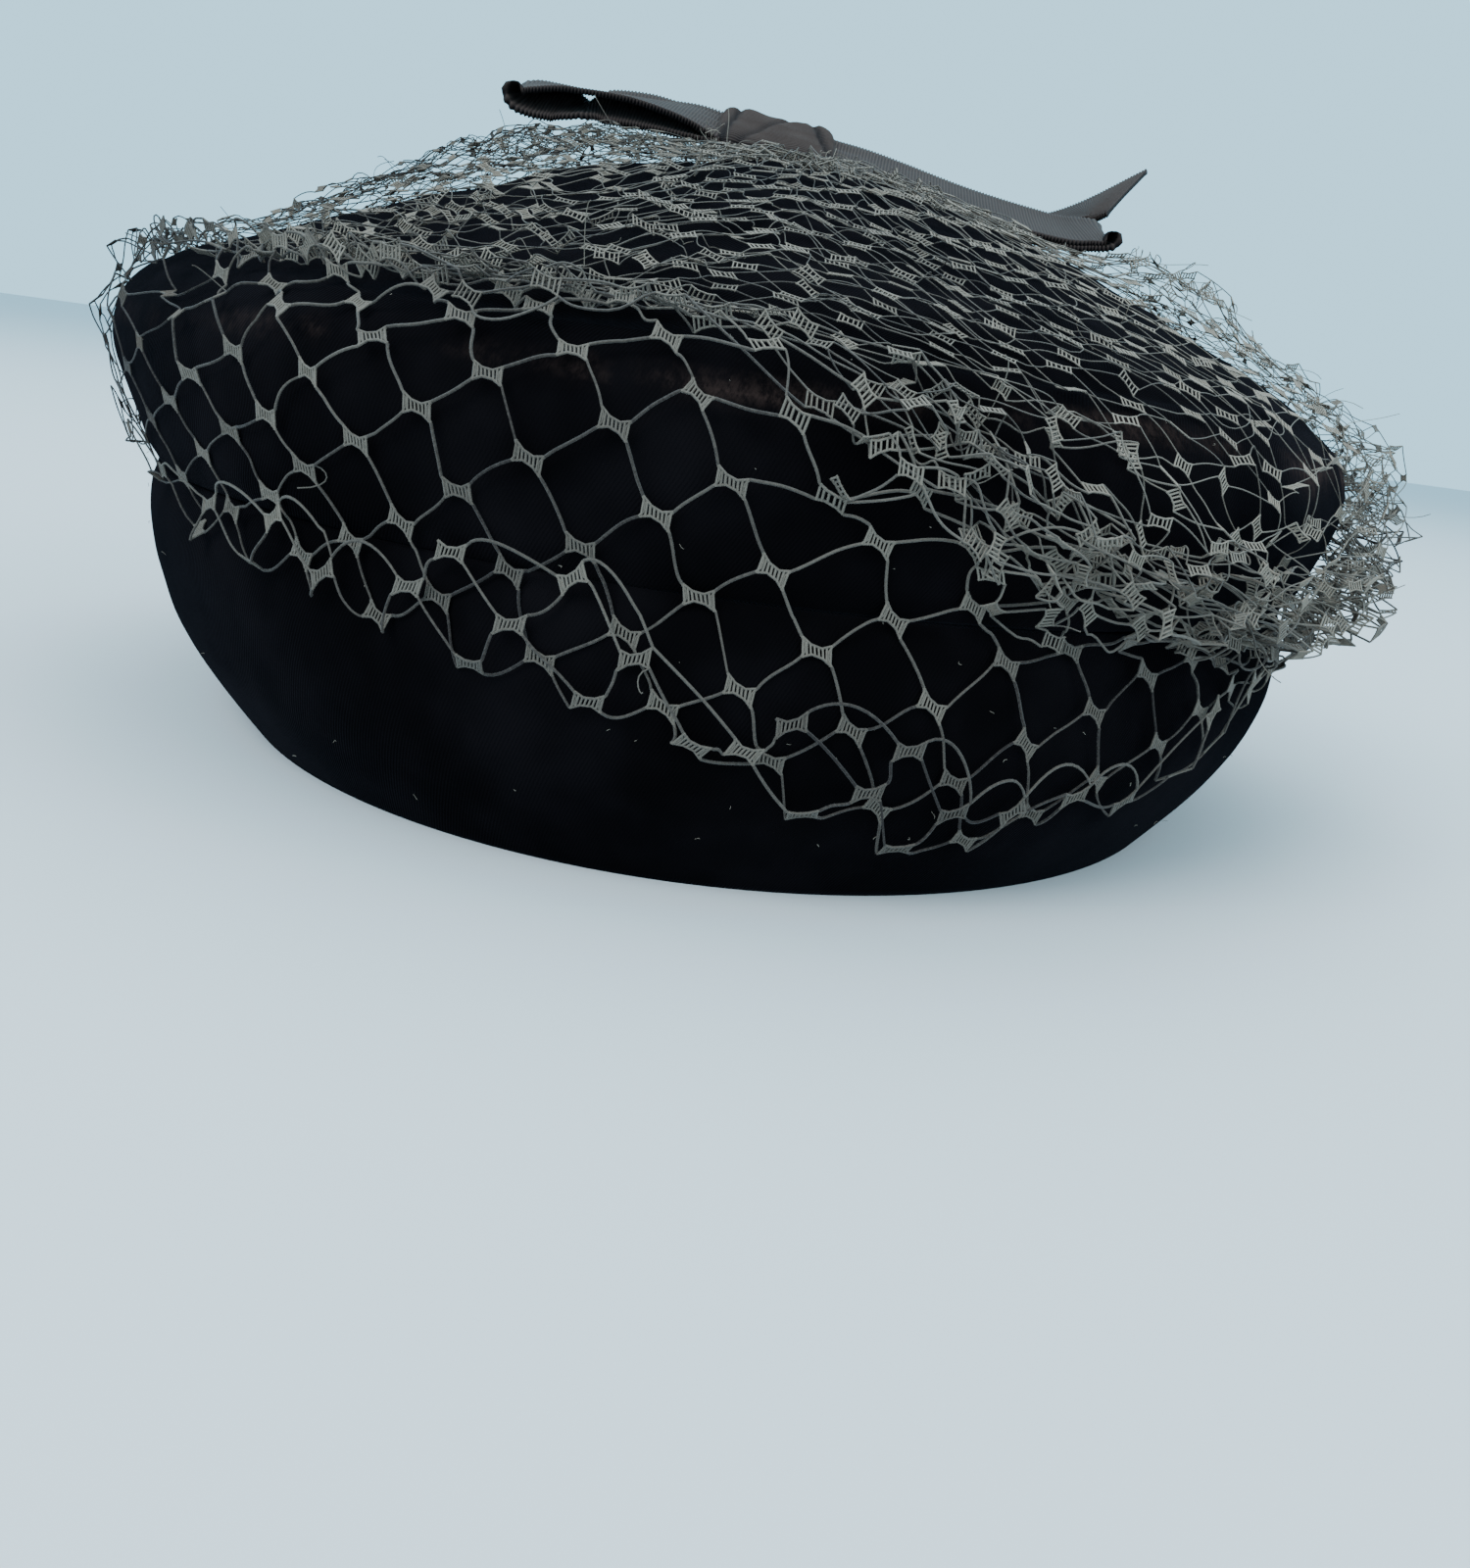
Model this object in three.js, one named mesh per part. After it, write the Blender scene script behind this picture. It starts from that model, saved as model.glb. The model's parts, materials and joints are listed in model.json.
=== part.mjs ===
// Veiled beret: a soft velvet crown that overhangs a flared band, a net veil gathered at the peak, and a
// flat ribbon bow. Millimetres, +Z up. The hat rests on its rim, its front faces -Y, and the longer loop of
// the bow lies towards +X.
//
// Every place on the velvet is an angle round the hat (degrees, 0 at +X, -90 at the front) and a station
// down it: 0 at the peak, 1 at the widest edge, 2 at the seam between crown and band, 3 at the rim.

import * as THREE from 'three';

// ---------------------------------------------------------------------------------------------------------
// Driving sizes
// ---------------------------------------------------------------------------------------------------------

const VELVET_WALL = 2.4; // velvet pile on its backing
const NET_WALL = 1.0; // the veil, drawn thicker than its thread
const RIBBON_WALL = 1.0; // the bow's ribbon
const RIBBON_WIDTH = 20;
const GAP = 0.3; // kept clear between neighbouring pieces

const PEAK = 0;
const EDGE = 1;
const SEAM = 2;
const RIM = 3;

/** The velvet's outer face, a ring for each of the four stations. lean is the slope of a ring along X. */
const HAT_RINGS = [
  { name: 'peak', halfWidth: 0, halfDepth: 0, shiftX: 1.2, shiftY: 13, lift: 100.8, lean: -0.012 },
  { name: 'edge', halfWidth: 111.5, halfDepth: 117.7, shiftX: -1.6, shiftY: 7.4, lift: 62.9, lean: -0.012 },
  { name: 'seam', halfWidth: 100.1, halfDepth: 110.1, shiftX: -1.3, shiftY: 1.8, lift: 38.3, lean: -0.007 },
  { name: 'rim', halfWidth: 84.3, halfDepth: 99.8, shiftX: 0, shiftY: 0, lift: 0, lean: 0 },
];

const TOP_ROUNDNESS = 1.67; // power of the curve from the edge up to the peak: 1 is a cone, 2 a bowl
const BAND_BULGE = 5.5; // how far the band swells between its seam and its rim
const EDGE_OVER = 0.118; // the rounded edge starts this many stations above the widest ring
const EDGE_UNDER = 0.487; // and ends this many below it
const SIDE_DIP = { depth: 2.8, angle: 180, sharpness: 1.5 }; // the hollow on the left slope of the top

const HAT_SEGMENTS = 48;
const CROWN_STATIONS = [0.08, 0.2, 0.34, 0.48, 0.62, 0.76, 0.87, 0.96, 1.06, 1.16, 1.27, 1.4, 1.55, 1.75, 2];
const BAND_STATIONS = [2, 2.2, 2.4, 2.6, 2.8, 3];

// ---------------------------------------------------------------------------------------------------------
// The form of the velvet
// ---------------------------------------------------------------------------------------------------------

const RING_COLUMNS = ['halfWidth', 'halfDepth', 'shiftX', 'shiftY', 'lift', 'lean'];

/** A ring that takes each column from start to end by share. */
function mixRings(start, end, share) {
  const ring = {};
  for (const column of RING_COLUMNS) {
    ring[column] = start[column] + (end[column] - start[column]) * share;
  }
  return ring;
}

/** The ring at a station of the top, from the peak to the widest edge. */
function topRing(station) {
  const ring = mixRings(HAT_RINGS[PEAK], HAT_RINGS[EDGE], station);
  const rise = HAT_RINGS[PEAK].lift - HAT_RINGS[EDGE].lift;
  ring.lift = HAT_RINGS[EDGE].lift + rise * (1 - station ** TOP_ROUNDNESS);
  return ring;
}

/** The ring of the velvet's outer face at any station, with its rounded edge and swelled band. */
function hatRing(station) {
  if (station <= EDGE - EDGE_OVER) {
    return topRing(station);
  }
  if (station < EDGE + EDGE_UNDER) {
    const share = (station - (EDGE - EDGE_OVER)) / (EDGE_OVER + EDGE_UNDER);
    const upper = topRing(EDGE - EDGE_OVER);
    const lower = mixRings(HAT_RINGS[EDGE], HAT_RINGS[SEAM], EDGE_UNDER);
    const fromTop = mixRings(upper, HAT_RINGS[EDGE], share);
    const toSide = mixRings(HAT_RINGS[EDGE], lower, share);
    return mixRings(fromTop, toSide, share);
  }
  if (station <= SEAM) {
    return mixRings(HAT_RINGS[EDGE], HAT_RINGS[SEAM], station - EDGE);
  }
  const ring = mixRings(HAT_RINGS[SEAM], HAT_RINGS[RIM], station - SEAM);
  const swell = BAND_BULGE * Math.sin(Math.PI * (station - SEAM));
  ring.halfWidth += swell;
  ring.halfDepth += swell;
  return ring;
}

/** A point of the velvet's outer face. */
function hatPoint(angle, station) {
  const ring = hatRing(station);
  const turn = THREE.MathUtils.degToRad(angle);
  const x = ring.halfWidth * Math.cos(turn);
  const y = ring.halfDepth * Math.sin(turn);
  const facing = Math.max(0, Math.cos(turn - THREE.MathUtils.degToRad(SIDE_DIP.angle)));
  const onTop = Math.sin(Math.PI * Math.min(station, EDGE));
  const dip = SIDE_DIP.depth * facing ** SIDE_DIP.sharpness * onTop;
  return new THREE.Vector3(ring.shiftX + x, ring.shiftY + y, ring.lift + ring.lean * x - dip);
}

/** The outward unit normal of a surface given as point(angle, place), from its slopes both ways. */
function surfaceNormal(point, angle, place, lowest, highest) {
  const angleStep = 0.5;
  const placeStep = 0.004 * (highest - lowest);
  const above = Math.max(lowest, place - placeStep);
  const below = Math.min(highest, place + placeStep);
  const around = point(angle + angleStep, place).sub(point(angle - angleStep, place));
  const down = point(angle, below).sub(point(angle, above));
  return down.cross(around).normalize();
}

/** The outward normal of the velvet. One seam side is used on its own, because the seam is a crease. */
function hatNormal(angle, station, onBand) {
  if (station < CROWN_STATIONS[0] / 2) {
    return new THREE.Vector3(0, 0, 1);
  }
  const lowest = onBand ? SEAM : PEAK;
  const highest = onBand ? RIM : SEAM;
  return surfaceNormal(hatPoint, angle, station, lowest, highest);
}

/** A point on the inner face of the velvet wall. */
function liningPoint(angle, station, onBand) {
  const inward = hatNormal(angle, station, onBand).multiplyScalar(-VELVET_WALL);
  const point = hatPoint(angle, station).add(inward);
  if (station === RIM) {
    point.z = 0; // the rim is cut level, so that the hat stands on it
  }
  return point;
}

// ---------------------------------------------------------------------------------------------------------
// Mesh building
// ---------------------------------------------------------------------------------------------------------

/** Collects corners and faces. A corner named twice is made once, so neighbouring faces stay joined. */
class Shell {
  constructor() {
    this.places = [];
    this.faces = [];
    this.named = new Map();
  }

  /** The index of the corner with this name, placed by the function when it is new. */
  corner(name, place) {
    if (!this.named.has(name)) {
      this.named.set(name, this.places.length / 3);
      this.places.push(...place().toArray());
    }
    return this.named.get(name);
  }

  /** A face of three or more corners, counted anticlockwise from outside, as a fan from the first. */
  face(...corners) {
    for (let i = 1; i < corners.length - 1; i += 1) {
      this.faces.push(corners[0], corners[i], corners[i + 1]);
    }
  }

  geometry() {
    const geometry = new THREE.BufferGeometry();
    geometry.setAttribute('position', new THREE.Float32BufferAttribute(this.places, 3));
    geometry.setIndex(this.faces);
    geometry.computeVertexNormals();
    return geometry;
  }
}

/** Joins two rings of corners, the upper and the lower, with faces that look outwards. */
function joinRings(shell, upper, lower) {
  for (let i = 0; i < upper.length; i += 1) {
    const next = (i + 1) % upper.length;
    shell.face(upper[i], lower[i], lower[next], upper[next]);
  }
}

/** The corners of one ring of the velvet, on its outer or its inner face. */
function velvetRing(shell, side, station, onBand) {
  const place = side === 'outer' ? hatPoint : liningPoint;
  const ring = [];
  for (let i = 0; i < HAT_SEGMENTS; i += 1) {
    const angle = (360 * i) / HAT_SEGMENTS;
    ring.push(shell.corner(`${side} ${station} ${i}`, () => place(angle, station, onBand)));
  }
  return ring;
}

/** The soft top: an outer and an inner dome, joined at the seam. */
function crownGeometry() {
  const shell = new Shell();
  const outer = CROWN_STATIONS.map((station) => velvetRing(shell, 'outer', station, false));
  const inner = CROWN_STATIONS.map((station) => velvetRing(shell, 'inner', station, false));
  const outerPeak = shell.corner('outer peak', () => hatPoint(0, PEAK));
  const innerPeak = shell.corner('inner peak', () => liningPoint(0, PEAK, false));
  for (let i = 0; i < HAT_SEGMENTS; i += 1) {
    const next = (i + 1) % HAT_SEGMENTS;
    shell.face(outerPeak, outer[0][i], outer[0][next]);
    shell.face(innerPeak, inner[0][next], inner[0][i]);
  }
  for (let i = 1; i < CROWN_STATIONS.length; i += 1) {
    joinRings(shell, outer[i - 1], outer[i]);
    joinRings(shell, inner[i], inner[i - 1]);
  }
  joinRings(shell, outer.at(-1), inner.at(-1));
  return shell.geometry();
}

/** The flared side band: a ring of wall with a level rim to stand on. */
function bandGeometry() {
  const shell = new Shell();
  const seamGap = GAP / (HAT_RINGS[SEAM].lift - HAT_RINGS[RIM].lift);
  const stations = BAND_STATIONS.map((station) => Math.max(station, SEAM + seamGap));
  const outer = stations.map((station) => velvetRing(shell, 'outer', station, true));
  const inner = stations.map((station) => velvetRing(shell, 'inner', station, true));
  for (let i = 1; i < stations.length; i += 1) {
    joinRings(shell, outer[i - 1], outer[i]);
    joinRings(shell, inner[i], inner[i - 1]);
  }
  joinRings(shell, inner[0], outer[0]);
  joinRings(shell, outer.at(-1), inner.at(-1));
  return shell.geometry();
}

// ---------------------------------------------------------------------------------------------------------
// The veil
// ---------------------------------------------------------------------------------------------------------

const VEIL_COLUMNS = 18; // meshes round the hat
const VEIL_ROWS = 7; // rows of knots below the gather
const VEIL_STRAND = 3.6; // width of the bars between the meshes
const WIDEST_BAR = 0.42; // a bar takes at most this share of its mesh
const VEIL_TWIST = 4; // degrees that each row of knots is turned past the last
const GATHER_LENGTH = 26; // the net is drawn together this far round the peak
const GATHER_RINGS = 3;
const GATHER_PLEAT = 0.5; // height of the pleats at the gather
const FACET_ROOM = 0.15; // room for the flat faces of the two walls
const SEATED_STANDOFF = GAP + NET_WALL / 2 + FACET_ROOM; // middle of the net where it lies on the velvet
const DRAPED_STANDOFF = 2.5; // middle of the net where it lies loose
const DRAPED_LENGTH = 3 * GATHER_LENGTH; // it lies loose from this length down
const EDGE_STANDOFF = { station: 1.15, reach: 0.4, height: 2.2 }; // more where it bends over the edge

/** Parts of the veil that stand off the velvet: how high, round which angle and station, and how wide. */
const VEIL_SWELLS = [
  { name: 'left tent', angle: -168, spread: 46, station: 0.33, reach: 0.27, height: 5.5 },
  { name: 'left shoulder', angle: -165, spread: 36, station: 0.9, reach: 0.2, height: 1.5 },
  { name: 'right loops', angle: -14, spread: 30, station: 0.66, reach: 0.17, height: 2.5 },
  { name: 'right bunch', angle: -16, spread: 28, station: 1.88, reach: 0.4, height: 11.5 },
  { name: 'front fold', angle: -74, spread: 22, station: 1.1, reach: 0.3, height: 1.4 },
];

/** Where the veil ends: the station of its hem at each angle. */
const VEIL_HEM = [
  { angle: -180, station: 1.95 },
  { angle: -150, station: 1.98 },
  { angle: -120, station: 2.24 },
  { angle: -98, station: 2.36 },
  { angle: -82, station: 2.74 },
  { angle: -68, station: 2.84 },
  { angle: -52, station: 2.62 },
  { angle: -32, station: 2.32 },
  { angle: 0, station: 2.15 },
  { angle: 40, station: 1.85 },
  { angle: 90, station: 1.6 },
  { angle: 140, station: 1.75 },
  { angle: 180, station: 1.95 },
];

/** Path lengths down the velvet between the stations, which turn a length into a station. */
const STATION_LENGTHS = [PEAK, EDGE, SEAM].map((station) => {
  const upper = HAT_RINGS[station];
  const lower = HAT_RINGS[station + 1];
  return Math.hypot(lower.halfDepth - upper.halfDepth, lower.lift - upper.lift);
});

/** The station that lies a length down the velvet from the peak. */
function stationAt(length) {
  let left = length;
  for (const [station, span] of STATION_LENGTHS.entries()) {
    if (left <= span || station === SEAM) {
      return station + left / span;
    }
    left -= span;
  }
  return RIM;
}

/** The length down the velvet at which a station lies. */
function lengthAt(station) {
  const whole = Math.min(SEAM, Math.floor(station));
  const above = STATION_LENGTHS.slice(0, whole).reduce((sum, span) => sum + span, 0);
  return above + (station - whole) * STATION_LENGTHS[whole];
}

/** The angle as one between -180 and 180. */
function wrapAngle(angle) {
  return angle - 360 * Math.round(angle / 360);
}

/** The length of the veil from the peak to its hem at an angle, eased between the rows of VEIL_HEM. */
function hemLength(angle) {
  const wrapped = wrapAngle(angle);
  const after = Math.max(1, VEIL_HEM.findIndex((row) => row.angle >= wrapped));
  const before = VEIL_HEM[after - 1];
  const share = THREE.MathUtils.smoothstep(wrapped, before.angle, VEIL_HEM[after].angle);
  return THREE.MathUtils.lerp(lengthAt(before.station), lengthAt(VEIL_HEM[after].station), share);
}

/** A smooth hump, 1 at 0 and nearly 0 past 2. */
function bell(distance) {
  return Math.exp(-(distance ** 2));
}

/** How far the middle of the net stands off the velvet. */
function standoff(angle, length) {
  const station = stationAt(length);
  const drape = THREE.MathUtils.smoothstep(length, GATHER_LENGTH, DRAPED_LENGTH);
  let height = THREE.MathUtils.lerp(SEATED_STANDOFF, DRAPED_STANDOFF, drape);
  height += EDGE_STANDOFF.height * bell((station - EDGE_STANDOFF.station) / EDGE_STANDOFF.reach);
  for (const swell of VEIL_SWELLS) {
    const aside = wrapAngle(angle - swell.angle) / swell.spread;
    const along = (station - swell.station) / swell.reach;
    height += swell.height * bell(aside) * bell(along);
  }
  const gathered = Math.max(0, 1 - Math.abs(length - GATHER_LENGTH) / GATHER_LENGTH);
  const pleat = (1 + Math.cos(THREE.MathUtils.degToRad(VEIL_COLUMNS * angle))) / 2;
  return height + GATHER_PLEAT * gathered * pleat;
}

/** A point in the middle of the veil's wall. */
function veilMiddle(angle, length) {
  const station = stationAt(length);
  const outward = hatNormal(angle, station, station > SEAM);
  return hatPoint(angle, station).add(outward.multiplyScalar(standoff(angle, length)));
}

/** A point on the veil's outer face (side 1) or its inner face (side -1). */
function veilPoint(angle, length, side) {
  if (length === 0) {
    const outward = new THREE.Vector3(0, 0, side * NET_WALL / 2);
    return veilMiddle(angle, length).add(outward);
  }
  const outward = surfaceNormal(veilMiddle, angle, length, 0, lengthAt(RIM));
  return veilMiddle(angle, length).add(outward.multiplyScalar((side * NET_WALL) / 2));
}

/** Places on the veil's lattice: column counts meshes round the hat and row counts knots down it. */
function latticePlace(column, row) {
  const angle = column * (360 / VEIL_COLUMNS) + row * VEIL_TWIST;
  const length = THREE.MathUtils.lerp(GATHER_LENGTH, hemLength(angle), row / VEIL_ROWS);
  return { angle, length };
}

/** The share of a mesh that its bars take, so that they keep their width from the gather to the hem. */
function barShare(column, row) {
  const centre = latticePlace(column, row);
  const ring = hatRing(stationAt(centre.length));
  const across = (Math.PI * (ring.halfWidth + ring.halfDepth)) / 2 / VEIL_COLUMNS;
  const down = (hemLength(centre.angle) - GATHER_LENGTH) / VEIL_ROWS;
  const clear = (across * down) / Math.hypot(across, down);
  return Math.min(WIDEST_BAR, VEIL_STRAND / 2 / clear);
}

/** The corners of a mesh round its centre, counted anticlockwise from its right knot. */
const MESH_CORNERS = [
  { column: 0.5, row: 0 },
  { column: 0.25, row: -0.5 },
  { column: 0, row: -1 },
  { column: -0.25, row: -0.5 },
  { column: -0.5, row: 0 },
  { column: -0.25, row: 0.5 },
  { column: 0, row: 1 },
  { column: 0.25, row: 0.5 },
];

/** The net: a closed gather round the peak, then meshes cut through in rows down to a scalloped hem. */
function veilGeometry() {
  const shell = new Shell();

  /** A corner on the lattice's own lines, shared by the meshes that meet there. */
  function knot(column, row, side) {
    const wrapped = ((column % VEIL_COLUMNS) + VEIL_COLUMNS) % VEIL_COLUMNS;
    const place = latticePlace(column, row);
    return shell.corner(`${wrapped} ${row} ${side}`, () => veilPoint(place.angle, place.length, side));
  }

  /** A corner of the hole in one mesh, drawn in from the lattice's line towards the mesh's centre. */
  function hole(column, row, corner, share, side) {
    const offset = MESH_CORNERS[corner];
    const reach = 1 - share;
    const place = latticePlace(column + offset.column * reach, row + offset.row * reach);
    return shell.corner(`${column} ${row} ${corner} ${side}`,
      () => veilPoint(place.angle, place.length, side));
  }

  // The closed gather, as rings of half columns from the peak to the first row of knots.
  const ringPlaces = 2 * VEIL_COLUMNS;
  const peak = [1, -1].map((side) => shell.corner(`peak ${side}`, () => veilPoint(0, 0, side)));
  const gatherRing = (ring, side) => Array.from({ length: ringPlaces }, (_, i) => {
    if (ring === GATHER_RINGS) {
      return knot(i / 2, 0, side);
    }
    const angle = (360 * i) / ringPlaces;
    const length = (GATHER_LENGTH * ring) / GATHER_RINGS;
    return shell.corner(`gather ${ring} ${i} ${side}`, () => veilPoint(angle, length, side));
  });
  for (const [index, side] of [1, -1].entries()) {
    let upper = null;
    for (let ring = 1; ring <= GATHER_RINGS; ring += 1) {
      const lower = gatherRing(ring, side);
      for (let i = 0; i < ringPlaces; i += 1) {
        const next = (i + 1) % ringPlaces;
        const corners = upper
          ? [upper[i], lower[i], lower[next], upper[next]]
          : [peak[index], lower[i], lower[next]];
        shell.face(...(side > 0 ? corners : corners.reverse()));
      }
      upper = lower;
    }
  }

  // The wedges between the gather and the first meshes stay closed.
  for (let column = 0; column < VEIL_COLUMNS; column += 1) {
    for (const side of [1, -1]) {
      const wedge = [
        knot(column + 0.5, 0, side), knot(column, 0, side), knot(column + 0.25, 0.5, side),
        knot(column + 0.5, 1, side), knot(column + 0.75, 0.5, side), knot(column + 1, 0, side),
      ];
      shell.face(...(side > 0 ? wedge : wedge.reverse()));
    }
  }

  // The meshes: four bars in two straight halves each, and the walls of the hole.
  for (let row = 1; row < VEIL_ROWS; row += 1) {
    for (let step = 0; step < VEIL_COLUMNS; step += 1) {
      const column = step + (row % 2 === 0 ? 0.5 : 0);
      const share = barShare(column, row);
      for (let corner = 0; corner < MESH_CORNERS.length; corner += 1) {
        const after = (corner + 1) % MESH_CORNERS.length;
        const [from, to] = [MESH_CORNERS[corner], MESH_CORNERS[after]];
        const [over, under] = [1, -1].map((side) => ({
          barStart: knot(column + from.column, row + from.row, side),
          barEnd: knot(column + to.column, row + to.row, side),
          holeEnd: hole(column, row, after, share, side),
          holeStart: hole(column, row, corner, share, side),
        }));
        shell.face(over.barStart, over.barEnd, over.holeEnd, over.holeStart);
        shell.face(under.holeStart, under.holeEnd, under.barEnd, under.barStart);
        shell.face(over.holeStart, over.holeEnd, under.holeEnd, under.holeStart);
        const isHem = row === VEIL_ROWS - 1 && (from.row > 0 || to.row > 0);
        if (isHem) {
          shell.face(over.barEnd, over.barStart, under.barStart, under.barEnd);
        }
      }
    }
  }
  return shell.geometry();
}

// ---------------------------------------------------------------------------------------------------------
// The bow
// ---------------------------------------------------------------------------------------------------------

const BOW_MIDDLE = { x: -1.2, y: 26, z: 107.2 };
const KNOT = { halfLength: 9.5, halfWidth: 9.6, halfHeight: 1.6, slope: -4, tilt: 18 };

/**
 * Points down the middle of each ribbon, out from the knot and, for a loop, back to it. x, y and z are
 * measured from the middle of the knot, and tilt is how far the ribbon's front edge hangs, in degrees.
 */
const BOW_PATHS = {
  bow_left_loop: [
    { x: -10.4, y: 0, z: -0.4, tilt: 18 },
    { x: -17, y: 0, z: -0.3, tilt: 16 },
    { x: -28, y: 0, z: 1.0, tilt: 12 },
    { x: -42, y: 0, z: 0.4, tilt: 9 },
    { x: -49, y: 0, z: 0, tilt: 8 },
    { x: -51.5, y: 0, z: 1.4, tilt: 8 },
    { x: -49, y: 0, z: 2.9, tilt: 8 },
    { x: -42, y: 0, z: 3.9, tilt: 9 },
    { x: -28, y: 0, z: 4.7, tilt: 12 },
    { x: -17, y: 0, z: 3.0, tilt: 16 },
    { x: -10.4, y: 0, z: 1.7, tilt: 18 },
  ],
  bow_right_loop: [
    { x: 11.2, y: 0, z: -1.1, tilt: 18 },
    { x: 15, y: 0, z: -2.0, tilt: 18 },
    { x: 27, y: 0, z: -4.3, tilt: 15 },
    { x: 44, y: 0, z: -7.6, tilt: 13 },
    { x: 58, y: 0, z: -9.6, tilt: 12 },
    { x: 65, y: 0, z: -8.7, tilt: 12 },
    { x: 67, y: 0, z: -7.2, tilt: 12 },
    { x: 64, y: 0, z: -5.9, tilt: 12 },
    { x: 44, y: 0, z: -5.3, tilt: 13 },
    { x: 27, y: 0, z: -2.7, tilt: 15 },
    { x: 15, y: 0, z: -0.7, tilt: 18 },
    { x: 11.2, y: 0, z: 0.6, tilt: 18 },
  ],
  bow_tail: [
    { x: 10.4, y: 5, z: -2.0, tilt: 18 },
    { x: 15, y: 6.4, z: -3.2, tilt: 18 },
    { x: 28, y: 11.5, z: -5.3, tilt: 13 },
    { x: 46, y: 17.5, z: -7.3, tilt: 8 },
    { x: 61, y: 18.5, z: -4.6, tilt: 14 },
    { x: 81, y: 21, z: 6.6, tilt: 22 },
  ],
};

/** How many straight steps each ribbon is cut into, and how far its last edge is cut on a slant. */
const BOW_STEPS = { bow_left_loop: 24, bow_right_loop: 26, bow_tail: 10 };
const TAIL_SLANT = 16;
const TAIL_WIDTH = 15;

/** A ribbon of even width along a path, closed at both ends. */
function ribbonGeometry(path, steps, width, slant) {
  const curve = new THREE.CatmullRomCurve3(path.map(({ x, y, z }) => new THREE.Vector3(x, y, z)));
  const shell = new Shell();
  const rows = [];
  for (let i = 0; i <= steps; i += 1) {
    const share = i / steps;
    const at = share * (path.length - 1);
    const from = path[Math.min(path.length - 2, Math.floor(at))];
    const to = path[Math.min(path.length - 1, Math.floor(at) + 1)];
    const tilt = THREE.MathUtils.degToRad(THREE.MathUtils.lerp(from.tilt, to.tilt, at % 1));
    const along = curve.getTangent(share);
    const flat = new THREE.Vector3(0, Math.cos(tilt), Math.sin(tilt));
    const across = flat.addScaledVector(along, -flat.dot(along)).normalize();
    const up = along.clone().cross(across).normalize();
    const corners = [[-1, -1], [1, -1], [1, 1], [-1, 1]].map(([aside, above], corner) => {
      const place = curve.getPoint(share)
        .addScaledVector(across, (aside * width) / 2)
        .addScaledVector(up, (above * RIBBON_WALL) / 2);
      const cut = i === steps ? slant * (aside - 1) / 2 : 0;
      return shell.corner(`${i} ${corner}`, () => place.addScaledVector(along, cut));
    });
    rows.push(corners);
  }
  for (let i = 1; i < rows.length; i += 1) {
    joinRings(shell, rows[i], rows[i - 1]);
  }
  shell.face(...rows[0].slice().reverse());
  shell.face(...rows.at(-1));
  return shell.geometry();
}

/** The knot: a flat pad of wound ribbon, with rounded long sides. */
function knotGeometry() {
  const outline = new THREE.Shape();
  const round = KNOT.halfHeight;
  const straight = KNOT.halfWidth - round;
  outline.absarc(straight, 0, round, -Math.PI / 2, Math.PI / 2, false);
  outline.absarc(-straight, 0, round, Math.PI / 2, (3 * Math.PI) / 2, false);
  const options = { depth: 2 * KNOT.halfLength, bevelEnabled: false, curveSegments: 4 };
  const geometry = new THREE.ExtrudeGeometry(outline, options);
  geometry.translate(0, 0, -KNOT.halfLength);
  geometry.rotateY(Math.PI / 2);
  geometry.rotateX(Math.PI / 2);
  return geometry;
}

// ---------------------------------------------------------------------------------------------------------
// The hat
// ---------------------------------------------------------------------------------------------------------

const VELVET = new THREE.MeshStandardMaterial({ color: 0x0e0b0c, roughness: 0.95, metalness: 0 });
const NET = new THREE.MeshStandardMaterial({ color: 0x6f7466, roughness: 0.8, metalness: 0 });
const RIBBON = new THREE.MeshStandardMaterial({ color: 0x4a403f, roughness: 0.75, metalness: 0 });

/** A named mesh with its material. */
function piece(name, geometry, material) {
  const mesh = new THREE.Mesh(geometry, material);
  mesh.name = name;
  return mesh;
}

/** The bow on its own, round the middle of its knot. */
function buildBow() {
  const bow = new THREE.Group();
  for (const [name, path] of Object.entries(BOW_PATHS)) {
    const isTail = name === 'bow_tail';
    const width = isTail ? TAIL_WIDTH : RIBBON_WIDTH;
    bow.add(piece(name, ribbonGeometry(path, BOW_STEPS[name], width, isTail ? TAIL_SLANT : 0), RIBBON));
  }
  const knot = piece('bow_knot', knotGeometry(), RIBBON);
  knot.rotation.set(THREE.MathUtils.degToRad(KNOT.tilt), THREE.MathUtils.degToRad(-KNOT.slope), 0);
  bow.add(knot);
  bow.position.set(BOW_MIDDLE.x, BOW_MIDDLE.y, BOW_MIDDLE.z);
  return bow;
}

const hat = new THREE.Group();
hat.add(piece('crown', crownGeometry(), VELVET));
hat.add(piece('band', bandGeometry(), VELVET));
hat.add(piece('veil', veilGeometry(), NET));
hat.add(buildBow());

// The origin is the middle of the footprint, level with the rim.
const footprint = new THREE.Box3().setFromObject(hat, true).getCenter(new THREE.Vector3());
hat.position.set(-footprint.x, -footprint.y, 0);

export default hat;
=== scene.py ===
"""Veiled beret: velvet crown and band, a knotted net veil and a grosgrain bow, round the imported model.

Places on the hat are an angle round it (degrees, 0 at +X, -90 at the front) and a station down it: 0 at the
peak, 1 at the widest edge, 2 at the seam between crown and band, 3 at the rim. Sizes in the tables are
millimetres, and everything handed to Blender is metres.
"""

import json
import logging
import math
from dataclasses import dataclass, field
from enum import Enum
from typing import Any, Sequence

import bmesh
import bpy
import numpy as np
from mathutils import Matrix, Vector


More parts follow.
